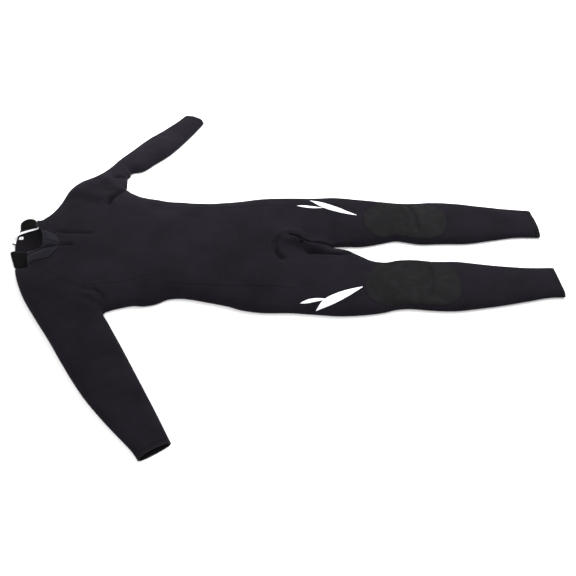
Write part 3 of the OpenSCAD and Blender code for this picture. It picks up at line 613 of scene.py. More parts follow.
TK = np.concatenate([np.full(len(T2), 3.0), 3.0 + 1.2 * smooth(5, 18, dB[newb])])
def panel(name, faces, mat, out=0.0, inner_mat=None):
    """A closed solid of fabric from some of the skin's triangles: outer face, inner face, and the cut edge between."""
    F = F3[faces]
    used, inv = np.unique(F, return_inverse=True)
    F = inv.reshape(F.shape)
    N = N3[used]
    Vo = V3[used] + N * out
    Vo[:, 2] = np.maximum(Vo[:, 2], 0.15)
    Vi = V3[used] - N * TK[used][:, None]
    n = len(used)
    e = {}
    for f in F:
        for a, b in ((f[0], f[1]), (f[1], f[2]), (f[2], f[0])):
            e[(a, b)] = e.get((a, b), 0) + 1
    rim = [(a, b) for (a, b) in e if (b, a) not in e]
    faces_out = [tuple(f) for f in F] + [(f[2] + n, f[1] + n, f[0] + n) for f in F] + [(b, a, a + n, b + n) for a, b in rim]
    Vall = np.vstack([Vo, Vi])
    ln = []
    for f in F:
        ln += [N[f[0]], N[f[1]], N[f[2]]]
    for f in F:
        ln += [-N[f[2]], -N[f[1]], -N[f[0]]]
    for a, b in rim:
        w = np.cross(Vo[a] - Vo[b], Vi[b] - Vo[b]); L = np.linalg.norm(w)
        w = w / L if L > 1e-9 else N[a]
        ln += [w] * 4
    o = to_object(name, Vall, faces_out, True, ln, mat)
    if inner_mat is not None:
        o.data.materials.append(inner_mat)
        nf = len(F)
        idx = np.zeros(len(o.data.polygons), np.int32); idx[nf:2 * nf] = 1; idx[2 * nf:] = 2
        o.data.materials.append(MAT["foam_edge"])
        o.data.polygons.foreach_set("material_index", idx)
    return o

def slab(name, outline, low, high, spacing, mat, rings=(0.6, 1.6), smooth_=True, closed_curve=True):
    """A thin closed patch over an outline. low and high give heights from points and their distance from the edge."""
    O = np.asarray(outline, float)
    pts = [tuple(p) for p in O]
    got = O.copy(); extra = []
    nn = normals2(O)
    for r in rings:
        for sgn in (1, -1):
            Q = O + nn * r * sgn
            Q = Q[inside(Q, O)]
            if len(Q):
                Q = Q[seg_dist(Q, O, np.roll(O, -1, 0))[0] > r * 0.9]
                Q = thin(Q, got, r * 0.6)
            if len(Q):
                extra.append(Q); got = np.vstack([got, Q])
    Hx = hexgrid(O[:, 0].min(), O[:, 0].max(), O[:, 1].min(), O[:, 1].max(), spacing)
    Hx = Hx[inside(Hx, O)]
    if len(Hx):
        Hx = Hx[seg_dist(Hx, O, np.roll(O, -1, 0))[0] > rings[-1] + spacing * 0.3]
        Hx = thin(Hx, got, spacing * 0.6)
    if len(Hx): extra.append(Hx)
    V = np.vstack([O] + extra) if extra else O
    out = delaunay_2d_cdt([Vector(p) for p in V], [(i, (i + 1) % len(O)) for i in range(len(O))], [], 0, 1e-6)
    v2 = np.array([tuple(v) for v in out[0]]); tri = np.array([f for f in out[2] if len(f) == 3])
    tri = tri[inside(v2[tri].mean(1), O)]
    a = v2[tri]
    area = (a[:, 1, 0] - a[:, 0, 0]) * (a[:, 2, 1] - a[:, 0, 1]) - (a[:, 1, 1] - a[:, 0, 1]) * (a[:, 2, 0] - a[:, 0, 0])
    tri[area < 0] = tri[area < 0][:, ::-1]; tri = tri[np.abs(area) > 1e-5]
    used = np.unique(tri); rm = -np.ones(len(v2), int); rm[used] = np.arange(len(used)); v2 = v2[used]; tri = rm[tri]
    d = seg_dist(v2, O, np.roll(O, -1, 0))[0]
    n = len(v2)
    zt, zb = high(v2, d), low(v2, d)
    bd = d < 1e-3
    zm = np.where(bd, (zt + zb) / 2, zt)
    low_id = np.where(bd, np.arange(n), np.arange(n) + n)
    Vall = np.vstack([np.column_stack([v2, zm]), np.column_stack([v2, zb])])
    faces = [tuple(f) for f in tri] + [tuple(low_id[f[::-1]]) for f in tri]
    faces = [f for f in faces if len(set(f)) == 3]
    arr = np.array(faces); u = np.unique(arr); r2 = -np.ones(2 * n, int); r2[u] = np.arange(len(u))
    return to_object(name, Vall[u], r2[arr], smooth_, None, mat)

def tube(path, radius, sides=6, caps=True):
    P = np.asarray(path, float); n = len(P)
    T = np.gradient(P, axis=0); T /= np.maximum(np.linalg.norm(T, axis=1)[:, None], 1e-9)
    up = np.tile(np.array([0, 0, 1.0]), (n, 1))
    A = np.cross(T, up); bad = np.linalg.norm(A, axis=1) < 1e-3
    A[bad] = (1, 0, 0); A /= np.linalg.norm(A, axis=1)[:, None]
    B = np.cross(A, T)
    r = np.broadcast_to(np.asarray(radius, float), (n,))
    th = np.linspace(0, 2 * math.pi, sides, endpoint=False)
    V = (P[:, None, :] + r[:, None, None] * (A[:, None, :] * np.cos(th)[None, :, None] + B[:, None, :] * np.sin(th)[None, :, None])).reshape(-1, 3)
    F = []
    for i in range(n - 1):
        for k in range(sides):
            a, b = i * sides + k, i * sides + (k + 1) % sides
            F.append((a, a + sides, b + sides, b))
    if caps:
        F.append(tuple(range(sides))); F.append(tuple(range((n - 1) * sides, n * sides))[::-1])
    return V, F
def join(parts):
    V, F, o = [], [], 0
    for v, f in parts:
        V.append(v); F += [tuple(i + o for i in t) for t in f]; o += len(v)
    return np.vstack(V), F

def stitch(name, line, zf, mat, width=4.4, pitch=3.0, r=0.34, lift=0.25):
    """A flat sewn seam: a zigzag of thread across the join and a straight thread down each side."""
    c = curve(line, pitch / 2) if len(line) < 400 else np.asarray(line, float)
    t = np.gradient(c, axis=0); t /= np.maximum(np.linalg.norm(t, axis=1)[:, None], 1e-9)
    n = np.stack([-t[:, 1], t[:, 0]], 1)
    s = np.where(np.arange(len(c)) % 2 == 0, 1.0, -1.0)[:, None]
    parts = []
    zz = c + n * s * width / 2
    parts.append(tube(np.column_stack([zz, zf(zz) + lift + 0.12]), r, 4))
    for k in (1, -1):
        q = c + n * k * width / 2
        parts.append(tube(np.column_stack([q, zf(q) + lift * 0.6]), r * 0.9, 4))
    V, F = join(parts)
    return to_object(name, V, F, True, None, mat)

# ------------------------------------------------------------------ materials
MAT = {}
def new_mat(name):
    m = bpy.data.materials.new(name); m.use_nodes = True
    nt = m.node_tree
    for n in list(nt.nodes):
        nt.nodes.remove(n)
    out = nt.nodes.new("ShaderNodeOutputMaterial"); b = nt.nodes.new("ShaderNodeBsdfPrincipled")
    nt.links.new(b.outputs["BSDF"], out.inputs["Surface"])
    MAT[name] = m
    return m, nt, b
def nd(nt, kind, **props):
    n = nt.nodes.new(kind)
    for k, v in props.items():
        if k.startswith("in_"):
            n.inputs[k[3:].replace("_", " ")].default_value = v
        else:
            setattr(n, k, v)
    return n
def ramp(nt, src, stops):
    r = nt.nodes.new("ShaderNodeValToRGB")
    nt.links.new(src, r.inputs["Fac"])
    el = r.color_ramp.elements
    while len(el) < len(stops):
        el.new(0.5)
    for e, (p, c) in zip(el, stops):
        e.position = p; e.color = (*c, 1)
    return r
def coords(nt, scale=(1, 1, 1), rot=(0, 0, 0)):
    tc = nt.nodes.new("ShaderNodeTexCoord"); mp = nt.nodes.new("ShaderNodeMapping")
    nt.links.new(tc.outputs["Object"], mp.inputs["Vector"])
    mp.inputs["Scale"].default_value = scale; mp.inputs["Rotation"].default_value = rot
    return mp.outputs["Vector"]
def knit(name, dark, light, rough=0.88, rib=1050.0, sheen=0.02, spec=0.03, bump=0.22, angle=0.0, tint=(0.72, 0.66, 0.80), dust=0.0):
    """Laminated jersey: fine ribs, cross threads, faint cloudy colour and a soft nap."""
    m, nt, b = new_mat(name)
    L = nt.links.new
    v = coords(nt, rot=(0, 0, angle))
    cloud = nd(nt, "ShaderNodeTexNoise", in_Scale=9.0, in_Detail=5.0, in_Roughness=0.6); L(v, cloud.inputs["Vector"])
    grain = nd(nt, "ShaderNodeTexNoise", in_Scale=420.0, in_Detail=3.0, in_Roughness=0.7); L(v, grain.inputs["Vector"])
    mixv = nd(nt, "ShaderNodeMath", operation="MULTIPLY_ADD"); L(grain.outputs["Fac"], mixv.inputs[0]); mixv.inputs[1].default_value = 0.45
    L(cloud.outputs["Fac"], mixv.inputs[2])
    cr = ramp(nt, mixv.outputs[0], [(0.48, dark), (0.98, light)])
    L(cr.outputs["Color"], b.inputs["Base Color"])
    w1 = nd(nt, "ShaderNodeTexWave", wave_type="BANDS", bands_direction="Y", in_Scale=rib / 6.2832 * 1.0, in_Distortion=1.2, in_Detail=1.0); w1.inputs["Detail Scale"].default_value = 2.0
    w2 = nd(nt, "ShaderNodeTexWave", wave_type="BANDS", bands_direction="X", in_Scale=rib / 6.2832 * 1.45, in_Distortion=2.0, in_Detail=1.0)
    L(v, w1.inputs["Vector"]); L(v, w2.inputs["Vector"])
    h = nd(nt, "ShaderNodeMath", operation="MULTIPLY_ADD"); L(w2.outputs["Fac"], h.inputs[0]); h.inputs[1].default_value = 0.5; L(w1.outputs["Fac"], h.inputs[2])
    h2 = nd(nt, "ShaderNodeMath", operation="MULTIPLY_ADD"); L(grain.outputs["Fac"], h2.inputs[0]); h2.inputs[1].default_value = 1.3; L(h.outputs[0], h2.inputs[2])
    pebble = nd(nt, "ShaderNodeTexNoise", in_Scale=70.0, in_Detail=4.0, in_Roughness=0.55); L(v, pebble.inputs["Vector"])
    bp0 = nd(nt, "ShaderNodeBump", in_Strength=0.35, in_Distance=0.0016); L(pebble.outputs["Fac"], bp0.inputs["Height"])
    bp = nd(nt, "ShaderNodeBump", in_Strength=bump, in_Distance=0.00035); L(h2.outputs[0], bp.inputs["Height"]); L(bp0.outputs["Normal"], bp.inputs["Normal"])
    L(bp.outputs["Normal"], b.inputs["Normal"])
    rr = nd(nt, "ShaderNodeMapRange"); L(cloud.outputs["Fac"], rr.inputs["Value"])
    rr.inputs["From Min"].default_value = 0.3; rr.inputs["From Max"].default_value = 0.75
    rr.inputs["To Min"].default_value = rough - 0.06; rr.inputs["To Max"].default_value = min(1.0, rough + 0.06)
    L(rr.outputs["Result"], b.inputs["Roughness"])
    b.inputs["Specular IOR Level"].default_value = spec
    b.inputs["Sheen Weight"].default_value = sheen
    b.inputs["Sheen Roughness"].default_value = 0.45
    b.inputs["Sheen Tint"].default_value = (*tint, 1)
    return m
K = 0.69
knit("body_knit", (0.0085 * K, 0.0070 * K, 0.0105 * K), (0.0160 * K, 0.0136 * K, 0.0195 * K))
knit("hem_band", (0.0056, 0.0048, 0.0064), (0.0108, 0.0095, 0.0120), rough=0.8, sheen=0.06)
knit("gusset_knit", (0.0070, 0.0062, 0.0078), (0.0130, 0.0118, 0.0142), rough=0.82, sheen=0.06, angle=0.8)
knit("collar_skin", (0.0066, 0.0060, 0.0090), (0.0124, 0.0113, 0.0163), rough=0.68, bump=0.10, sheen=0.03, spec=0.06)
knit("lining", (0.0044, 0.0038, 0.0050), (0.0088, 0.0078, 0.0098), rough=0.92, rib=700, sheen=0.02, bump=0.4)
knit("foam_edge", (0.010, 0.010, 0.011), (0.022, 0.022, 0.024), rough=0.9, rib=1900, sheen=0.0, bump=0.5)
knit("zip_tape_cloth", (0.008, 0.008, 0.009), (0.018, 0.018, 0.019), rough=0.75, rib=2600, sheen=0.1, bump=0.5)
knit("tab_skin", (0.0026, 0.0027, 0.0026), (0.0125, 0.0127, 0.0124), rough=0.72, rib=700, sheen=0.02, bump=0.9, spec=0.08, angle=0.25)
knit("thread", (0.0048, 0.0043, 0.0056), (0.0100, 0.0090, 0.0115), rough=0.7, rib=6000, sheen=0.06, bump=0.2, spec=0.08)
knit("thread_light", (0.55, 0.56, 0.58), (0.78, 0.79, 0.82), rough=0.5, rib=6000, sheen=0.2, bump=0.2, spec=0.4, tint=(1, 1, 1))
knit("band_white", (0.70, 0.72, 0.75), (0.86, 0.88, 0.91), rough=0.6, rib=2600, sheen=0.15, bump=0.5, spec=0.4, tint=(1, 1, 1))
knit("label_cloth", (0.72, 0.73, 0.76), (0.86, 0.87, 0.90), rough=0.7, rib=4000, sheen=0.1, bump=0.4, spec=0.4, tint=(1, 1, 1))

def pile(name, dark, light, scale, strength, kind="loop"):
    """Hook or loop tape: a field of tiny raised loops."""
    m, nt, b = new_mat(name); L = nt.links.new
    v = coords(nt)
    vo = nd(nt, "ShaderNodeTexVoronoi", feature="F1", in_Scale=scale, in_Randomness=1.0 if kind == "loop" else 0.25); L(v, vo.inputs["Vector"])
    no = nd(nt, "ShaderNodeTexNoise", in_Scale=scale * 0.6, in_Detail=6.0); L(v, no.inputs["Vector"])
    inv = nd(nt, "ShaderNodeMath", operation="MULTIPLY_ADD"); L(vo.outputs["Distance"], inv.inputs[0]); inv.inputs[1].default_value = -1.2; L(no.outputs["Fac"], inv.inputs[2])
    cr = ramp(nt, inv.outputs[0], [(0.0, dark), (0.75, light)]); L(cr.outputs["Color"], b.inputs["Base Color"])
    bp = nd(nt, "ShaderNodeBump", in_Strength=strength, in_Distance=0.0009); L(inv.outputs[0], bp.inputs["Height"]); L(bp.outputs["Normal"], b.inputs["Normal"])
    b.inputs["Roughness"].default_value = 0.95 if kind == "loop" else 0.6
    b.inputs["Specular IOR Level"].default_value = 0.02
    b.inputs["Sheen Weight"].default_value = 0.01 if kind == "loop" else 0.0
    b.inputs["Sheen Roughness"].default_value = 0.6
    return m
pile("loop_pile", (0.0034, 0.0034, 0.0035), (0.0100, 0.0100, 0.0103), 900.0, 0.9)
pile("hook_strip", (0.0035, 0.0037, 0.0035), (0.0120, 0.0125, 0.0118), 700.0, 0.9, "hook")

def rubber(name):
    """Printed abrasion layer over the knees: matt, finely pebbled, scuffed a little paler on the high spots."""
    m, nt, b = new_mat(name); L = nt.links.new
    v = coords(nt)
    vo = nd(nt, "ShaderNodeTexVoronoi", feature="F1", in_Scale=620.0, in_Randomness=0.8); L(v, vo.inputs["Vector"])
    cl = nd(nt, "ShaderNodeTexNoise", in_Scale=14.0, in_Detail=6.0, in_Roughness=0.62); L(v, cl.inputs["Vector"])
    sc = nd(nt, "ShaderNodeTexNoise", in_Scale=55.0, in_Detail=8.0, in_Roughness=0.7); L(v, sc.inputs["Vector"])
    mx = nd(nt, "ShaderNodeMath", operation="MULTIPLY_ADD"); L(sc.outputs["Fac"], mx.inputs[0]); mx.inputs[1].default_value = 0.6; L(cl.outputs["Fac"], mx.inputs[2])
    cr = ramp(nt, mx.outputs[0], [(0.52, (0.0062, 0.0057, 0.0063)), (0.80, (0.0093, 0.0087, 0.0095)), (1.0, (0.0132, 0.0124, 0.0134))])
    L(cr.outputs["Color"], b.inputs["Base Color"])
    inv = nd(nt, "ShaderNodeMath", operation="MULTIPLY_ADD"); L(vo.outputs["Distance"], inv.inputs[0]); inv.inputs[1].default_value = -1.0; L(sc.outputs["Fac"], inv.inputs[2])
    bp = nd(nt, "ShaderNodeBump", in_Strength=0.55, in_Distance=0.0007); L(inv.outputs[0], bp.inputs["Height"]); L(bp.outputs["Normal"], b.inputs["Normal"])
    rr = nd(nt, "ShaderNodeMapRange"); L(cl.outputs["Fac"], rr.inputs["Value"])
    rr.inputs["From Min"].default_value = 0.3; rr.inputs["From Max"].default_value = 0.75; rr.inputs["To Min"].default_value = 0.62; rr.inputs["To Max"].default_value = 0.8
    L(rr.outputs["Result"], b.inputs["Roughness"])
    b.inputs["Specular IOR Level"].default_value = 0.03
    return m
rubber("knee_rubber")

def paint(name, c0, c1, rough, spec=0.4, scale=160.0, bump=0.15):
    m, nt, b = new_mat(name); L = nt.links.new
    v = coords(nt)
    no = nd(nt, "ShaderNodeTexNoise", in_Scale=scale, in_Detail=6.0, in_Roughness=0.65); L(v, no.inputs["Vector"])
    cr = ramp(nt, no.outputs["Fac"], [(0.35, c0), (0.65, c1)]); L(cr.outputs["Color"], b.inputs["Base Color"])
    wv = nd(nt, "ShaderNodeTexWave", wave_type="BANDS", bands_direction="Y", in_Scale=170.0, in_Distortion=1.0); L(v, wv.inputs["Vector"])
    hh = nd(nt, "ShaderNodeMath", operation="MULTIPLY_ADD"); L(wv.outputs["Fac"], hh.inputs[0]); hh.inputs[1].default_value = 0.6; L(no.outputs["Fac"], hh.inputs[2])
    bp = nd(nt, "ShaderNodeBump", in_Strength=bump, in_Distance=0.0003); L(hh.outputs[0], bp.inputs["Height"]); L(bp.outputs["Normal"], b.inputs["Normal"])
    rr = nd(nt, "ShaderNodeMapRange"); L(no.outputs["Fac"], rr.inputs["Value"]); rr.inputs["To Min"].default_value = rough - 0.08; rr.inputs["To Max"].default_value = rough + 0.08
    L(rr.outputs["Result"], b.inputs["Roughness"])
    b.inputs["Specular IOR Level"].default_value = spec
    return m
paint("thigh_print", (0.84, 0.86, 0.89), (0.93, 0.94, 0.96), 0.5)

def metal(name, col, rough, met=1.0):
    m, nt, b = new_mat(name); L = nt.links.new
    v = coords(nt)
    br = nd(nt, "ShaderNodeTexNoise", in_Scale=900.0, in_Detail=4.0); L(v, br.inputs["Vector"])
    wear = nd(nt, "ShaderNodeTexNoise", in_Scale=260.0, in_Detail=6.0, in_Roughness=0.7); L(v, wear.inputs["Vector"])
    cr = ramp(nt, wear.outputs["Fac"], [(0.35, tuple(c * 0.72 for c in col)), (0.7, col)]); L(cr.outputs["Color"], b.inputs["Base Color"])
    rr = nd(nt, "ShaderNodeMapRange"); L(wear.outputs["Fac"], rr.inputs["Value"]); rr.inputs["To Min"].default_value = rough - 0.1; rr.inputs["To Max"].default_value = rough + 0.14
    L(rr.outputs["Result"], b.inputs["Roughness"])
    bp = nd(nt, "ShaderNodeBump", in_Strength=0.12, in_Distance=0.0002); L(br.outputs["Fac"], bp.inputs["Height"]); L(bp.outputs["Normal"], b.inputs["Normal"])
    b.inputs["Metallic"].default_value = met
    return m
metal("zip_metal", (0.60, 0.61, 0.64), 0.36)
metal("zip_teeth", (0.74, 0.76, 0.78), 0.45, 0.0)

# ------------------------------------------------------------------ fabric pieces
HIP = dict(start=(0.038, 0, 0.02), end=(0.130, 0, 0.02)); KNEE = dict(start=(0.335, 0, 0.02), end=(0.435, 0, 0.02))
def along(at, d, a, b):
    p = lambda s: (float(at[0] + d[0] * s) / 1000, float(at[1] + d[1] * s) / 1000, 0.02)
    return dict(start=p(a), end=p(b))
SH_R, SH_L = along(RA, R_DIR, 6.5, 92), along(LA, L_DIR, 6.5, 92)
EL_R, EL_L = along(RA, R_DIR, 172, 258), along(LA, L_DIR, 152, 238)
MOVE = {}
for S, SH, EL in (("right", SH_R, EL_R), ("left", SH_L, EL_L)):
    for w in ("front", "back"):
        MOVE[f"{S}_upper_sleeve_{w}"] = ("torso", f"{S}_upper_arm", SH)
        MOVE[f"{S}_forearm_{w}"] = (f"{S}_upper_arm", f"{S}_forearm", EL)
        MOVE[f"{S}_thigh_{w}"] = ("torso", f"{S}_thigh", HIP)
        MOVE[f"{S}_shin_{w}"] = (f"{S}_thigh", f"{S}_shin", KNEE)
    MOVE[f"{S}_wrist_hem"] = f"{S}_forearm"; MOVE[f"{S}_ankle_hem"] = f"{S}_shin"
def carry(o, how, nodes=()):
    if isinstance(how, str):
        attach(o, how)
    else:
        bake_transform(o)
    if nodes:
        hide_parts(*nodes); REPLACED.update(nodes)
    return o
made = {}
for nm in sorted(set(lab)):
    idx = np.where(lab == nm)[0]
    mat, slot = MAT["body_knit"], "body_knit"
    if nm.endswith("hem"): mat, slot = MAT["hem_band"], "hem_band"
    if nm == "crotch_gusset": mat, slot = MAT["gusset_knit"], "gusset_knit"
    o = panel(nm + "_cloth", idx, mat, inner_mat=MAT["lining"])
    made[nm] = carry(o, MOVE.get(nm, "torso"), [nm])

# ------------------------------------------------------------------ collar
RIM = [(-744, -16, 6), (-748, -7, 11), (-737, -11, 19), (-716, -15.5, 29), (-701, -16, 37), (-695.5, -8, 42), (-697, 10, 45), (-702, 30, 46), (-709, 48, 44.5), (-718, 65, 40), (-729, 80, 32), (-738, 92, 22), (-745, 104, 11)]
SEAM_PTS = [(-728, -74), (-722, -71), (-706, -67), (-690, -64.5), (-668, -59), (-650, -32.5), (-643.5, -11), (-650.5, 12), (-673, 38), (-704, 55), (-718, 70), (-728, 84), (-738, 100)]
def band(name):
    n, m = 150, 18
    R = curve(RIM, 1.0); S2 = curve(SEAM_PTS, 1.0)
    def even(c, knots):
        # spread samples by section, so that rim and seam keep step
        K3 = np.asarray(knots, float)
        pos = np.array([((c[:, :K3.shape[1]] - k) ** 2).sum(1).argmin() for k in K3]); pos[0] = 0; pos[-1] = len(c) - 1
        u = np.interp(np.linspace(0, len(K3) - 1, n), np.arange(len(K3)), pos)
        i = np.clip(u.astype(int), 0, len(c) - 2); f = (u - i)[:, None]
        return c[i] * (1 - f) + c[i + 1] * f
    Rr, Ss = even(R, RIM), even(S2, SEAM_PTS)
    Sz = z_top(Ss)
    Sp = np.column_stack([Ss, np.minimum(Sz, 60)])
    V = []
    for i in range(n):
        u = i / (n - 1)
        A, B = Sp[i], Rr[i]
        D = B - A; L = np.linalg.norm(D)
        up = np.array([0, 0, 1.0]); tang = (Rr[min(i + 1, n - 1)] - Rr[max(i - 1, 0)]) + (Sp[min(i + 1, n - 1)] - Sp[max(i - 1, 0)])
        nrm = np.cross(tang, D); nrm /= max(np.linalg.norm(nrm), 1e-9)
        if nrm[2] < 0: nrm = -nrm
        bulge = 0.10 * L * math.sin(math.pi * min(1, u * 1.0)) ** 0.5
        for k in range(m):
            t = k / (m - 1)
            p = A + D * t + nrm * (bulge * math.sin(math.pi * t) * (1 - 0.25 * t))
            # one fold across the right front of the collar, where it turns down to the shoulder
            dip = math.exp(-((p[1] + 17 - 0.2 * (p[0] + 672)) / 4.2) ** 2) * 13.0 * smooth(0.0, 0.12, t)
            rdg = math.exp(-((p[1] - 2 + 0.16 * (p[0] + 670)) / 9.0) ** 2) * 1.6 + math.exp(-((p[1] + 36) / 12.0) ** 2) * 1.5
            p = p + np.array([0, 0, 1.0]) * (rdg - dip) * math.sin(math.pi * min(1, 0.15 + t * 0.85)) ** 0.5
            V.append(p + nrm * 0.3)
    G3 = np.array(V).reshape(n, m, 3)
    dn = np.zeros_like(G3); di = np.gradient(G3, axis=0); dj = np.gradient(G3, axis=1)
    nn = np.cross(di, dj); nn /= np.maximum(np.linalg.norm(nn, axis=2, keepdims=True), 1e-9)
    if nn[n // 2, m // 2, 2] < 0: nn = -nn
    inner = G3 - nn * 3.0
    # rounded rim: two extra rows round the edge
    e = G3[:, -1] + (G3[:, -1] - G3[:, -2]) / np.maximum(np.linalg.norm(G3[:, -1] - G3[:, -2], axis=1, keepdims=True), 1e-9) * 1.1
    r1 = e - nn[:, -1] * 0.7; r2 = e - nn[:, -1] * 2.3
    rows = np.concatenate([G3, r1[:, None], r2[:, None], inner[:, ::-1]], 1)
    w = rows.shape[1]
    Vv = rows.reshape(-1, 3); F = []
    for i in range(n - 1):
        for k in range(w):
            a, b = i * w + k, i * w + (k + 1) % w
            F.append((a, a + w, b + w, b))
    F.append(tuple(range(w))[::-1]); F.append(tuple(range((n - 1) * w, n * w)))
    Vv[:, 2] = np.maximum(Vv[:, 2], 4.8)
    o = to_object(name, Vv, F, True, None, MAT["collar_skin"])
    fix_normals(o)
    return o, G3
def fix_normals(o):
    import bmesh
    bm = bmesh.new(); bm.from_mesh(o.data)
    bmesh.ops.recalc_face_normals(bm, faces=bm.faces)
    bm.to_mesh(o.data); bm.free(); o.data.update()
collar, CG = band("front_collar_band")
carry(collar, "torso", ["front_collar"])

def flat_high(z, r=1.2):
    return lambda P, d: z - r * (1 - np.sqrt(np.clip(1 - (1 - np.clip(d / r, 0, 1)) ** 2, 0, 1)))
def flat_low(z, r=1.2):
    return lambda P, d: z + r * (1 - np.sqrt(np.clip(1 - (1 - np.clip(d / r, 0, 1)) ** 2, 0, 1)))
def soft(P, a=0.5):
    return a * (np.sin(P[:, 0] * 0.11 + P[:, 1] * 0.07) + np.sin(P[:, 0] * 0.05 - P[:, 1] * 0.13 + 1.3)) * 0.5
def lap_r(P):      # the right end of the collar lifts a little towards its free edge
    return 3.0 * smooth(-745, -798, P[:, 0]) + 0.0
def lap_l(P):
    return 2.2 * smooth(-760, -796, P[:, 0])
RIGHT_END = [(-706.5, -1), (-706.5, -65.5), (-742, -67), (-769, -70), (-785, -38), (-801, -3), (-790, 3), (-760, 1), (-735, -1)]
LEFT_END = [(-706.5, -0.4), (-735, -0.4), (-762, 1.6), (-789, 4.2), (-793, 24), (-795, 45), (-797, 72), (-796, 95), (-770, 101), (-746, 108), (-741, 118), (-706.5, 117.5)]
def rounded(poly, step=3.0, r=3):
    P = joined(list(poly) + [poly[0]], step)[:-1]
    for _ in range(r):
        P = (np.roll(P, 1, 0) + 2 * P + np.roll(P, -1, 0)) / 4
    return P
right_end = slab("collar_right_end_cloth", rounded(RIGHT_END), lambda P, d: flat_low(0.5)(P, d) + lap_r(P) * 0.8, lambda P, d: flat_high(4.6)(P, d) + lap_r(P) + soft(P, 0.3), 5.0, MAT["collar_skin"])
carry(right_end, "torso", ["collar_right_end"])
left_end = slab("collar_left_end_cloth", rounded(LEFT_END), lambda P, d: flat_low(0.5)(P, d) + lap_l(P) * 0.8, lambda P, d: flat_high(4.6)(P, d) + lap_l(P) + soft(P, 0.3), 5.0, MAT["lining"])
carry(left_end, "torso", ["collar_left_end"])
PATCH = [(-796.5, -5), (-744, -3.5), (-726, -64), (-772, -66.5)]
patch = slab("loop_patch_pile", rounded(PATCH, 2.5, 2), lambda P, d: 4.4 + lap_r(P) + 0 * d, lambda P, d: flat_high(6.6, 0.9)(P, d) + lap_r(P) + soft(P, 0.25), 4.0, MAT["loop_pile"])
carry(patch, "torso", ["loop_patch"])
# tab that closes the collar over the zip's end
TF_O, TF_A = np.array([-796.0, 95.0]), math.atan2(13, 50)
def tabpt(u, v):
    c, s = math.cos(TF_A), math.sin(TF_A)
    return (TF_O[0] + u * c - v * s, TF_O[1] + u * s + v * c)
def tab_outline(x0, x1, y0, yc, r):
    pts = [(x0, y0), (x1, y0), (x1, yc)]
    cx = (x0 + x1) / 2
    pts += [(cx + r * math.cos(a), yc + r * math.sin(a)) for a in np.linspace(0.12, math.pi - 0.12, 18)]
    pts += [(x0, yc)]
    return [tabpt(*p) for p in pts]
tab = slab("collar_tab_cloth", rounded(tab_outline(0, 50, 0.6, 28, 25), 2.2, 1), flat_low(0.7), lambda P, d: flat_high(4.1)(P, d), 4.0, MAT["tab_skin"])
carry(tab, "closing_tab", ["collar_tab"])
hook = slab("hook_patch_strip", rounded(tab_outline(5, 45, 6, 28, 20), 2.2, 1), lambda P, d: 4.0 + 0 * d, flat_high(5.3, 0.6), 3.5, MAT["hook_strip"])
carry(hook, "closing_tab", ["hook_patch"])
tab_st = stitch("collar_tab_stitch", [tabpt(2.4, 4), tabpt(2.4, 28), tabpt(7, 42.5), tabpt(16, 49), tabpt(25, 50.6), tabpt(34, 49), tabpt(43, 42.5), tabpt(47.6, 28), tabpt(47.6, 4)], lambda P: np.full(len(P), 4.1), MAT["thread"], width=1.4, pitch=2.2, r=0.28, lift=0.12)
carry(tab_st, "closing_tab")
# woven label with one bar tack
LB = [(-789, 51.5), (-776, 53.5), (-778, 65.5), (-790, 63.5)]
label = slab("neck_label_tape", rounded(LB, 1.5, 5), lambda P, d: 4.7 + lap_l(P) + 0 * d, lambda P, d: flat_high(5.9, 0.4)(P, d) + lap_l(P) + 0.8 * np.sin((P[:, 0] + 789) / 13 * math.pi), 2.0, MAT["label_cloth"], rings=(0.5,))
carry(label, "torso", ["neck_label"])
tack_v, tack_f = tube(np.array([(-784.6, 57.8, 8.9), (-783.0, 58.0, 9.2), (-781.4, 58.2, 8.9)]), 1.5, 10)
tack = to_object("neck_label_tack", tack_v, tack_f, True, None, MAT["thread"]); carry(tack, "torso")
# light bound edge of the opening, curling up out of the neck
BANDP = curve([(-804, 60, 7.9), (-799, 71, 8.4), (-788, 80.5, 8.3), (-774, 89, 7.6), (-758, 97, 7.2), (-741, 103, 7.4)], 1.6)
def ribbon(name, path, width, thick, tilt, mat, taper=None):
    P = np.asarray(path, float); n = len(P)
    T = np.gradient(P, axis=0); T /= np.linalg.norm(T, axis=1)[:, None]
    side = np.cross(T, np.array([0, 0, 1.0])); side /= np.linalg.norm(side, axis=1)[:, None]
    up = np.cross(side, T)
    a = np.radians(tilt)
    wv = side * math.cos(a) + up * math.sin(a); nv = np.cross(T, wv)
    prof = [(-1, -0.5), (-1.04, 0), (-1, 0.5), (-0.5, 0.62), (0, 0.66), (0.5, 0.62), (1, 0.5), (1.04, 0), (1, -0.5), (0, -0.6)]
    tp = np.ones(n) if taper is None else taper
    V = []
    for i in range(n):
        for u, v in prof:
            V.append(P[i] + wv[i] * u * width / 2 * tp[i] + nv[i] * v * thick)
    m = len(prof); F = []
    for i in range(n - 1):
        for k in range(m):
            q, r = i * m + k, i * m + (k + 1) % m
            F.append((q, r, r + m, q + m))
    F.append(tuple(range(m))); F.append(tuple(range((n - 1) * m, n * m))[::-1])
    o = to_object(name, np.array(V), F, True, None, mat); fix_normals(o)
    return o
tp = np.interp(np.linspace(0, 1, len(BANDP)), [0, 0.12, 0.3, 0.8, 1], [0.95, 1.1, 1.05, 0.85, 0.45])
bandw = ribbon("zip_top_binding", BANDP, 11.5, 1.2, 12, MAT["band_white"], tp)
carry(bandw, "torso", ["zip_top_end"])
loop_end = ribbon("neck_loop_end", curve([(-806, 38, 4.2), (-800, 34.5, 5.2), (-793, 30, 5.6), (-784, 27, 5.4)], 1.2), 4.6, 1.0, 8, MAT["tab_skin"])
carry(loop_end, "torso")

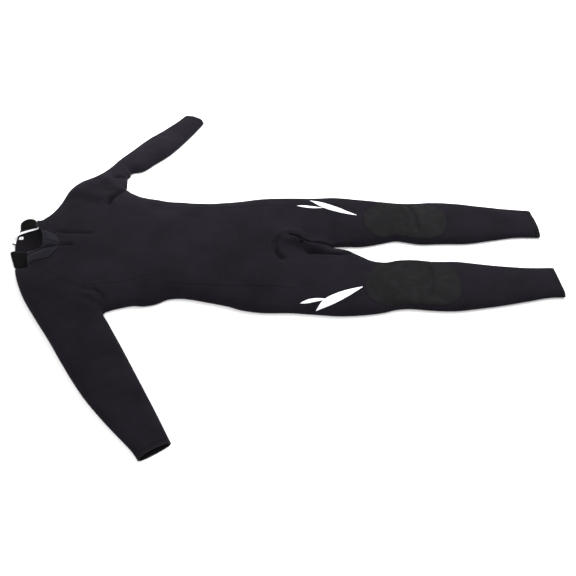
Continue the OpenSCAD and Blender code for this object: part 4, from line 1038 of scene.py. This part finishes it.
# ------------------------------------------------------------------ zip on the back: facings, tapes and teeth
X0, X1 = -700.0, -225.0
def strip(name, x0, x1, y0, y1, z0, z1, mat, r=0.35, step=12):
    """A flat woven strip with softened long edges."""
    xs = np.linspace(x0, x1, max(2, int((x1 - x0) / step)))
    prof = [(y0 + r, z0), (y1 - r, z0), (y1, z0 + r), (y1, z1 - r), (y1 - r, z1), (y0 + r, z1), (y0, z1 - r), (y0, z0 + r)]
    V = [(x, y, z) for x in xs for y, z in prof]; m = 8; F = []
    for i in range(len(xs) - 1):
        for k in range(m):
            a, b = i * m + k, i * m + (k + 1) % m
            F.append((a, b, b + m, a + m))
    F.append(tuple(range(m))); F.append(tuple(range((len(xs) - 1) * m, len(xs) * m))[::-1])
    o = to_object(name, np.array(V, float), F, False, None, mat); fix_normals(o)
    return o
for s, nm in ((-1, "right"), (1, "left")):
    ya, yb = (ZIP_Y - 25, ZIP_Y - 13.0) if s < 0 else (ZIP_Y + 13.0, ZIP_Y + 25)
    f = strip(f"zip_facing_{nm}_strip", -706, -217, ya, yb, 4.45, 7.4, MAT["hem_band"])
    carry(f, "torso", [f"zip_facing_{nm}"])
    ya, yb = (ZIP_Y - 25, ZIP_Y - 1.3) if s < 0 else (ZIP_Y + 1.3, ZIP_Y + 25)
    t = strip(f"zip_tape_{nm}_cloth", X0, X1, ya, yb, 7.5, 8.3, MAT["zip_tape_cloth"], r=0.2)
    carry(t, "torso", [f"zip_tape_{nm}"])
    parts = []
    pitch = 3.0; x = X0 + 1 + (0 if s < 0 else pitch / 2)
    y_in, y_out = ZIP_Y + s * 4.2, ZIP_Y - s * 0.55
    while x < X1 - 10:
        h = 0.62
        prof = [(-h, 6.4), (h, 6.4), (h * 1.1, 7.9), (h, 9.4), (-h, 9.4), (-h * 1.1, 7.9)]
        V = []
        for yy, k in ((y_in, 0.7), (y_in - s * 1.4, 1.0), (y_out + s * 1.0, 1.0), (y_out, 0.75)):
            for dx, z in prof:
                V.append((x + dx * k * 1.15, yy, 7.9 + (z - 7.9) * (0.75 + 0.25 * k)))
        F = []
        for i in range(3):
            for k in range(6):
                a, b = i * 6 + k, i * 6 + (k + 1) % 6
                F.append((a, b, b + 6, a + 6))
        F.append(tuple(range(6))); F.append(tuple(range(18, 24))[::-1])
        parts.append((np.array(V, float), F)); x += pitch
    V, F = join(parts)
    ch = to_object(f"zip_teeth_{nm}_row", V, F, False, None, MAT["zip_teeth"]); fix_normals(ch)
    carry(ch, "torso", [f"zip_chain_{nm}"])
    # the two sewn lines that hold the tape
    st = stitch(f"zip_edge_stitch_{nm}", [(-700, ZIP_Y + s * 16.5), (-222, ZIP_Y + s * 16.5)], lambda P: np.full(len(P), 0.28), MAT["thread"], width=2.6, pitch=3.2, r=0.22, lift=0.0)
    carry(st, "torso")
guard = to_object("zip_guard_cloth", *(lambda pr: (np.array([(x, y, z) for x in np.linspace(-690, -220, 60) for y, z in pr], float),
    [tuple(i * len(pr) + k for i, k in ((i, k), (i, (k + 1) % len(pr)), (i + 1, (k + 1) % len(pr)), (i + 1, k))) for i in range(59) for k in range(len(pr))]
    + [tuple(range(len(pr))), tuple(range(59 * len(pr), 60 * len(pr)))[::-1]]))([(37.4, 4.6), (38.8, 4.6), (38.9, 13.0), (38.0, 13.8), (-17.4, 13.8), (-17.9, 12.9), (-17.4, 12.0), (36.6, 12.0), (37.3, 11.4)]), True, None, MAT["lining"])
fix_normals(guard)
carry(guard, "torso", ["zip_guard_flap"])
for n in ("zip_slider", "zip_pull", "zip_bottom_stop"):
    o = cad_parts[n]
    if not o.material_slots:
        o.data.materials.append(MAT["zip_metal"])
    for sl in o.material_slots:
        sl.material = MAT["zip_metal"]

# ------------------------------------------------------------------ knee pads and thigh marks
def on_top(lift, r):
    def f(P, d):
        z = z_top(P)
        return z + lift - r * (1 - np.sqrt(np.clip(1 - (1 - np.clip(d / r, 0, 1)) ** 2, 0, 1)))
    return f
def under(P, d):
    return z_top(P) - 0.9
PAD_R = [(236, -186), (238, -160), (246, -136), (258, -112), (266, -88), (274, -66), (284, -56), (303, -58), (340, -54), (385, -50), (430, -56), (468, -70), (492, -94), (504, -132), (505, -176), (492, -208), (462, -226), (420, -226), (380, -223), (340, -224), (300, -231), (272, -226), (250, -212)]
PAD_L = [(250, 120), (262, 152), (290, 182), (320, 196), (360, 190), (400, 186), (440, 188), (474, 182), (496, 160), (505, 128), (503, 92), (490, 62), (462, 46), (430, 42), (396, 46), (350, 56), (318, 50), (292, 46), (268, 66), (254, 92)]
for S, PD in (("right", PAD_R), ("left", PAD_L)):
    O = curve(PD + [PD[0]], 5.0)[:-1]
    p = slab(f"{S}_knee_pad", O, under, on_top(1.15, 1.0), 6.0, MAT["knee_rubber"])
    carry(p, (f"{S}_thigh", f"{S}_shin", KNEE), [f"{S}_knee_pad_upper", f"{S}_knee_pad_lower"])
def lens(a, b, w, skew=0.0, n=26):
    """A plain tapered bar from a to b, widest at a share of its length."""
    a, b = np.array(a, float), np.array(b, float); d = b - a; L = np.linalg.norm(d); d /= L; q = np.array([-d[1], d[0]])
    t = np.linspace(0, 1, n); pk = 0.38
    h = np.where(t < pk, np.sin(t / pk * math.pi / 2), np.cos((t - pk) / (1 - pk) * math.pi / 2) ** 0.9)
    up = [a + d * L * ti + q * (w / 2 * hi + skew * math.sin(math.pi * ti)) for ti, hi in zip(t, h)]
    dn = [a + d * L * ti + q * (-w / 2 * hi + skew * math.sin(math.pi * ti)) for ti, hi in zip(t, h)]
    return np.array(up + dn[::-1][1:-1])
MARKS = {"right": [((98, -246), (232, -172), 27, 3), ((54, -228), (136, -218), 11, 2)], "left": [((90, 206), (236, 131), 24, -4), ((48, 176), (134, 166), 10, -2)]}
for S in ("right", "left"):
    for i, (a, b, w, sk) in enumerate(MARKS[S]):
        O = lens(a, b, w, sk)
        P = joined([tuple(p) for p in O] + [tuple(O[0])], 3.0)[:-1]
        p = slab(f"{S}_thigh_mark_{i + 1}", P, under, on_top(0.55, 0.5), 4.0, MAT["thigh_print"], rings=(0.5,))
        carry(p, ("torso", f"{S}_thigh", HIP), [f"{S}_thigh_print"] if i == 0 else ())

# ------------------------------------------------------------------ seams
def zt(P):
    return z_top(P) - 0.75
def clear_ends(c, a=0, b=0):
    return c[a:len(c) - b if b else None]
for nm, line in (("raglan_side_seam_right", SEAM_R), ("raglan_side_seam_left", SEAM_L), ("armpit_seam_right", PIT_R), ("armpit_seam_left", PIT_L)):
    st = stitch(nm, line, zt, MAT["thread"]); carry(st, "torso")
neck_st = stitch("neckline_seam", [tuple(p) for p in curve(SEAM_PTS, 6)[1:-1]], lambda P: z_top(P) + 0.1, MAT["thread"], width=4.0); carry(neck_st, "torso")
for S, hem, how in (("right", "hem_ra", "right_forearm"), ("left", "hem_la", "left_forearm"), ("right_leg", "hem_rl", "right_shin"), ("left_leg", "hem_ll", "left_shin")):
    c = cutline(hem); c = c[1:-1]
    dd = lat_dist(c)
    st = stitch(f"hem_stitch_{S}", c, lambda P: z_top(P) + 0.05, MAT["thread"], width=3.0, pitch=3.0); carry(st, how)
for S, line in (("right", [(88, -246), (122, -232), (160, -214), (196, -196), (212, -190)]), ("left", [(88, 216), (122, 204), (160, 190), (210, 172), (246, 150)])):
    st = stitch(f"thigh_seam_{S}", line, lambda P: z_top(P) + 0.05, MAT["thread"], width=2.6); carry(st, ("torso", f"{S}_thigh", HIP))

# ------------------------------------------------------------------ room
floor_me = bpy.data.meshes.new("floor"); s = 14.0
floor_me.from_pydata([(-s, -s, -0.0004), (s, -s, -0.0004), (s, s, -0.0004), (-s, s, -0.0004)], [], [(0, 1, 2, 3)])
floor_o = bpy.data.objects.new("floor", floor_me); SC.collection.objects.link(floor_o)
fm, fnt, fb = new_mat("floor_paper")
fb.inputs["Roughness"].default_value = 0.9; fb.inputs["Specular IOR Level"].default_value = 0.0
fn = nd(fnt, "ShaderNodeTexNoise", in_Scale=3.0, in_Detail=2.0)
fc = ramp(fnt, fn.outputs["Fac"], [(0.3, (0.93, 0.93, 0.93)), (0.7, (0.95, 0.95, 0.95))]); fnt.links.new(fc.outputs["Color"], fb.inputs["Base Color"])
floor_me.materials.append(fm)
world = bpy.data.worlds.new("studio"); SC.world = world; world.use_nodes = True
bg = world.node_tree.nodes["Background"]; bg.inputs[0].default_value = (1, 1, 1, 1); bg.inputs[1].default_value = 0.66
def area(name, loc, target, size, power):
    l = bpy.data.lights.new(name, "AREA"); l.shape = "RECTANGLE"; l.size, l.size_y = size; l.energy = power; l.color = (1, 1, 1)
    o = bpy.data.objects.new(name, l); SC.collection.objects.link(o)
    o.location = loc; o.rotation_euler = (Vector(target) - Vector(loc)).to_track_quat("-Z", "Y").to_euler()
    return o
area("key", (1.0, 0.9, 1.5), (0.66, 0.2, 0), (1.3, 1.0), 47)
area("fill", (-0.35, -1.35, 1.9), (-0.35, -0.4, 0), (1.6, 1.0), 26)
area("back", (-1.35, 1.9, 1.5), (-1.25, 1.4, 0), (1.4, 0.8), 15)
sp = bpy.data.lights.new("sleeve_light", "SPOT"); sp.energy = 108; sp.spot_size = math.radians(44); sp.spot_blend = 1.0; sp.shadow_soft_size = 0.28
sp_o = bpy.data.objects.new("sleeve_light", sp); SC.collection.objects.link(sp_o)
sp_o.location = (-0.46, 0.85, 1.25); sp_o.rotation_euler = (Vector((-0.43, 0.47, 0.03)) - Vector((-0.46, 0.85, 1.25))).to_track_quat("-Z", "Y").to_euler()

left_over = sorted(n for n in ALL - REPLACED if n not in ("zip_slider", "zip_pull", "zip_bottom_stop"))
print("CAD nodes still shown plain:", left_over)
SC.view_layers[0].update()
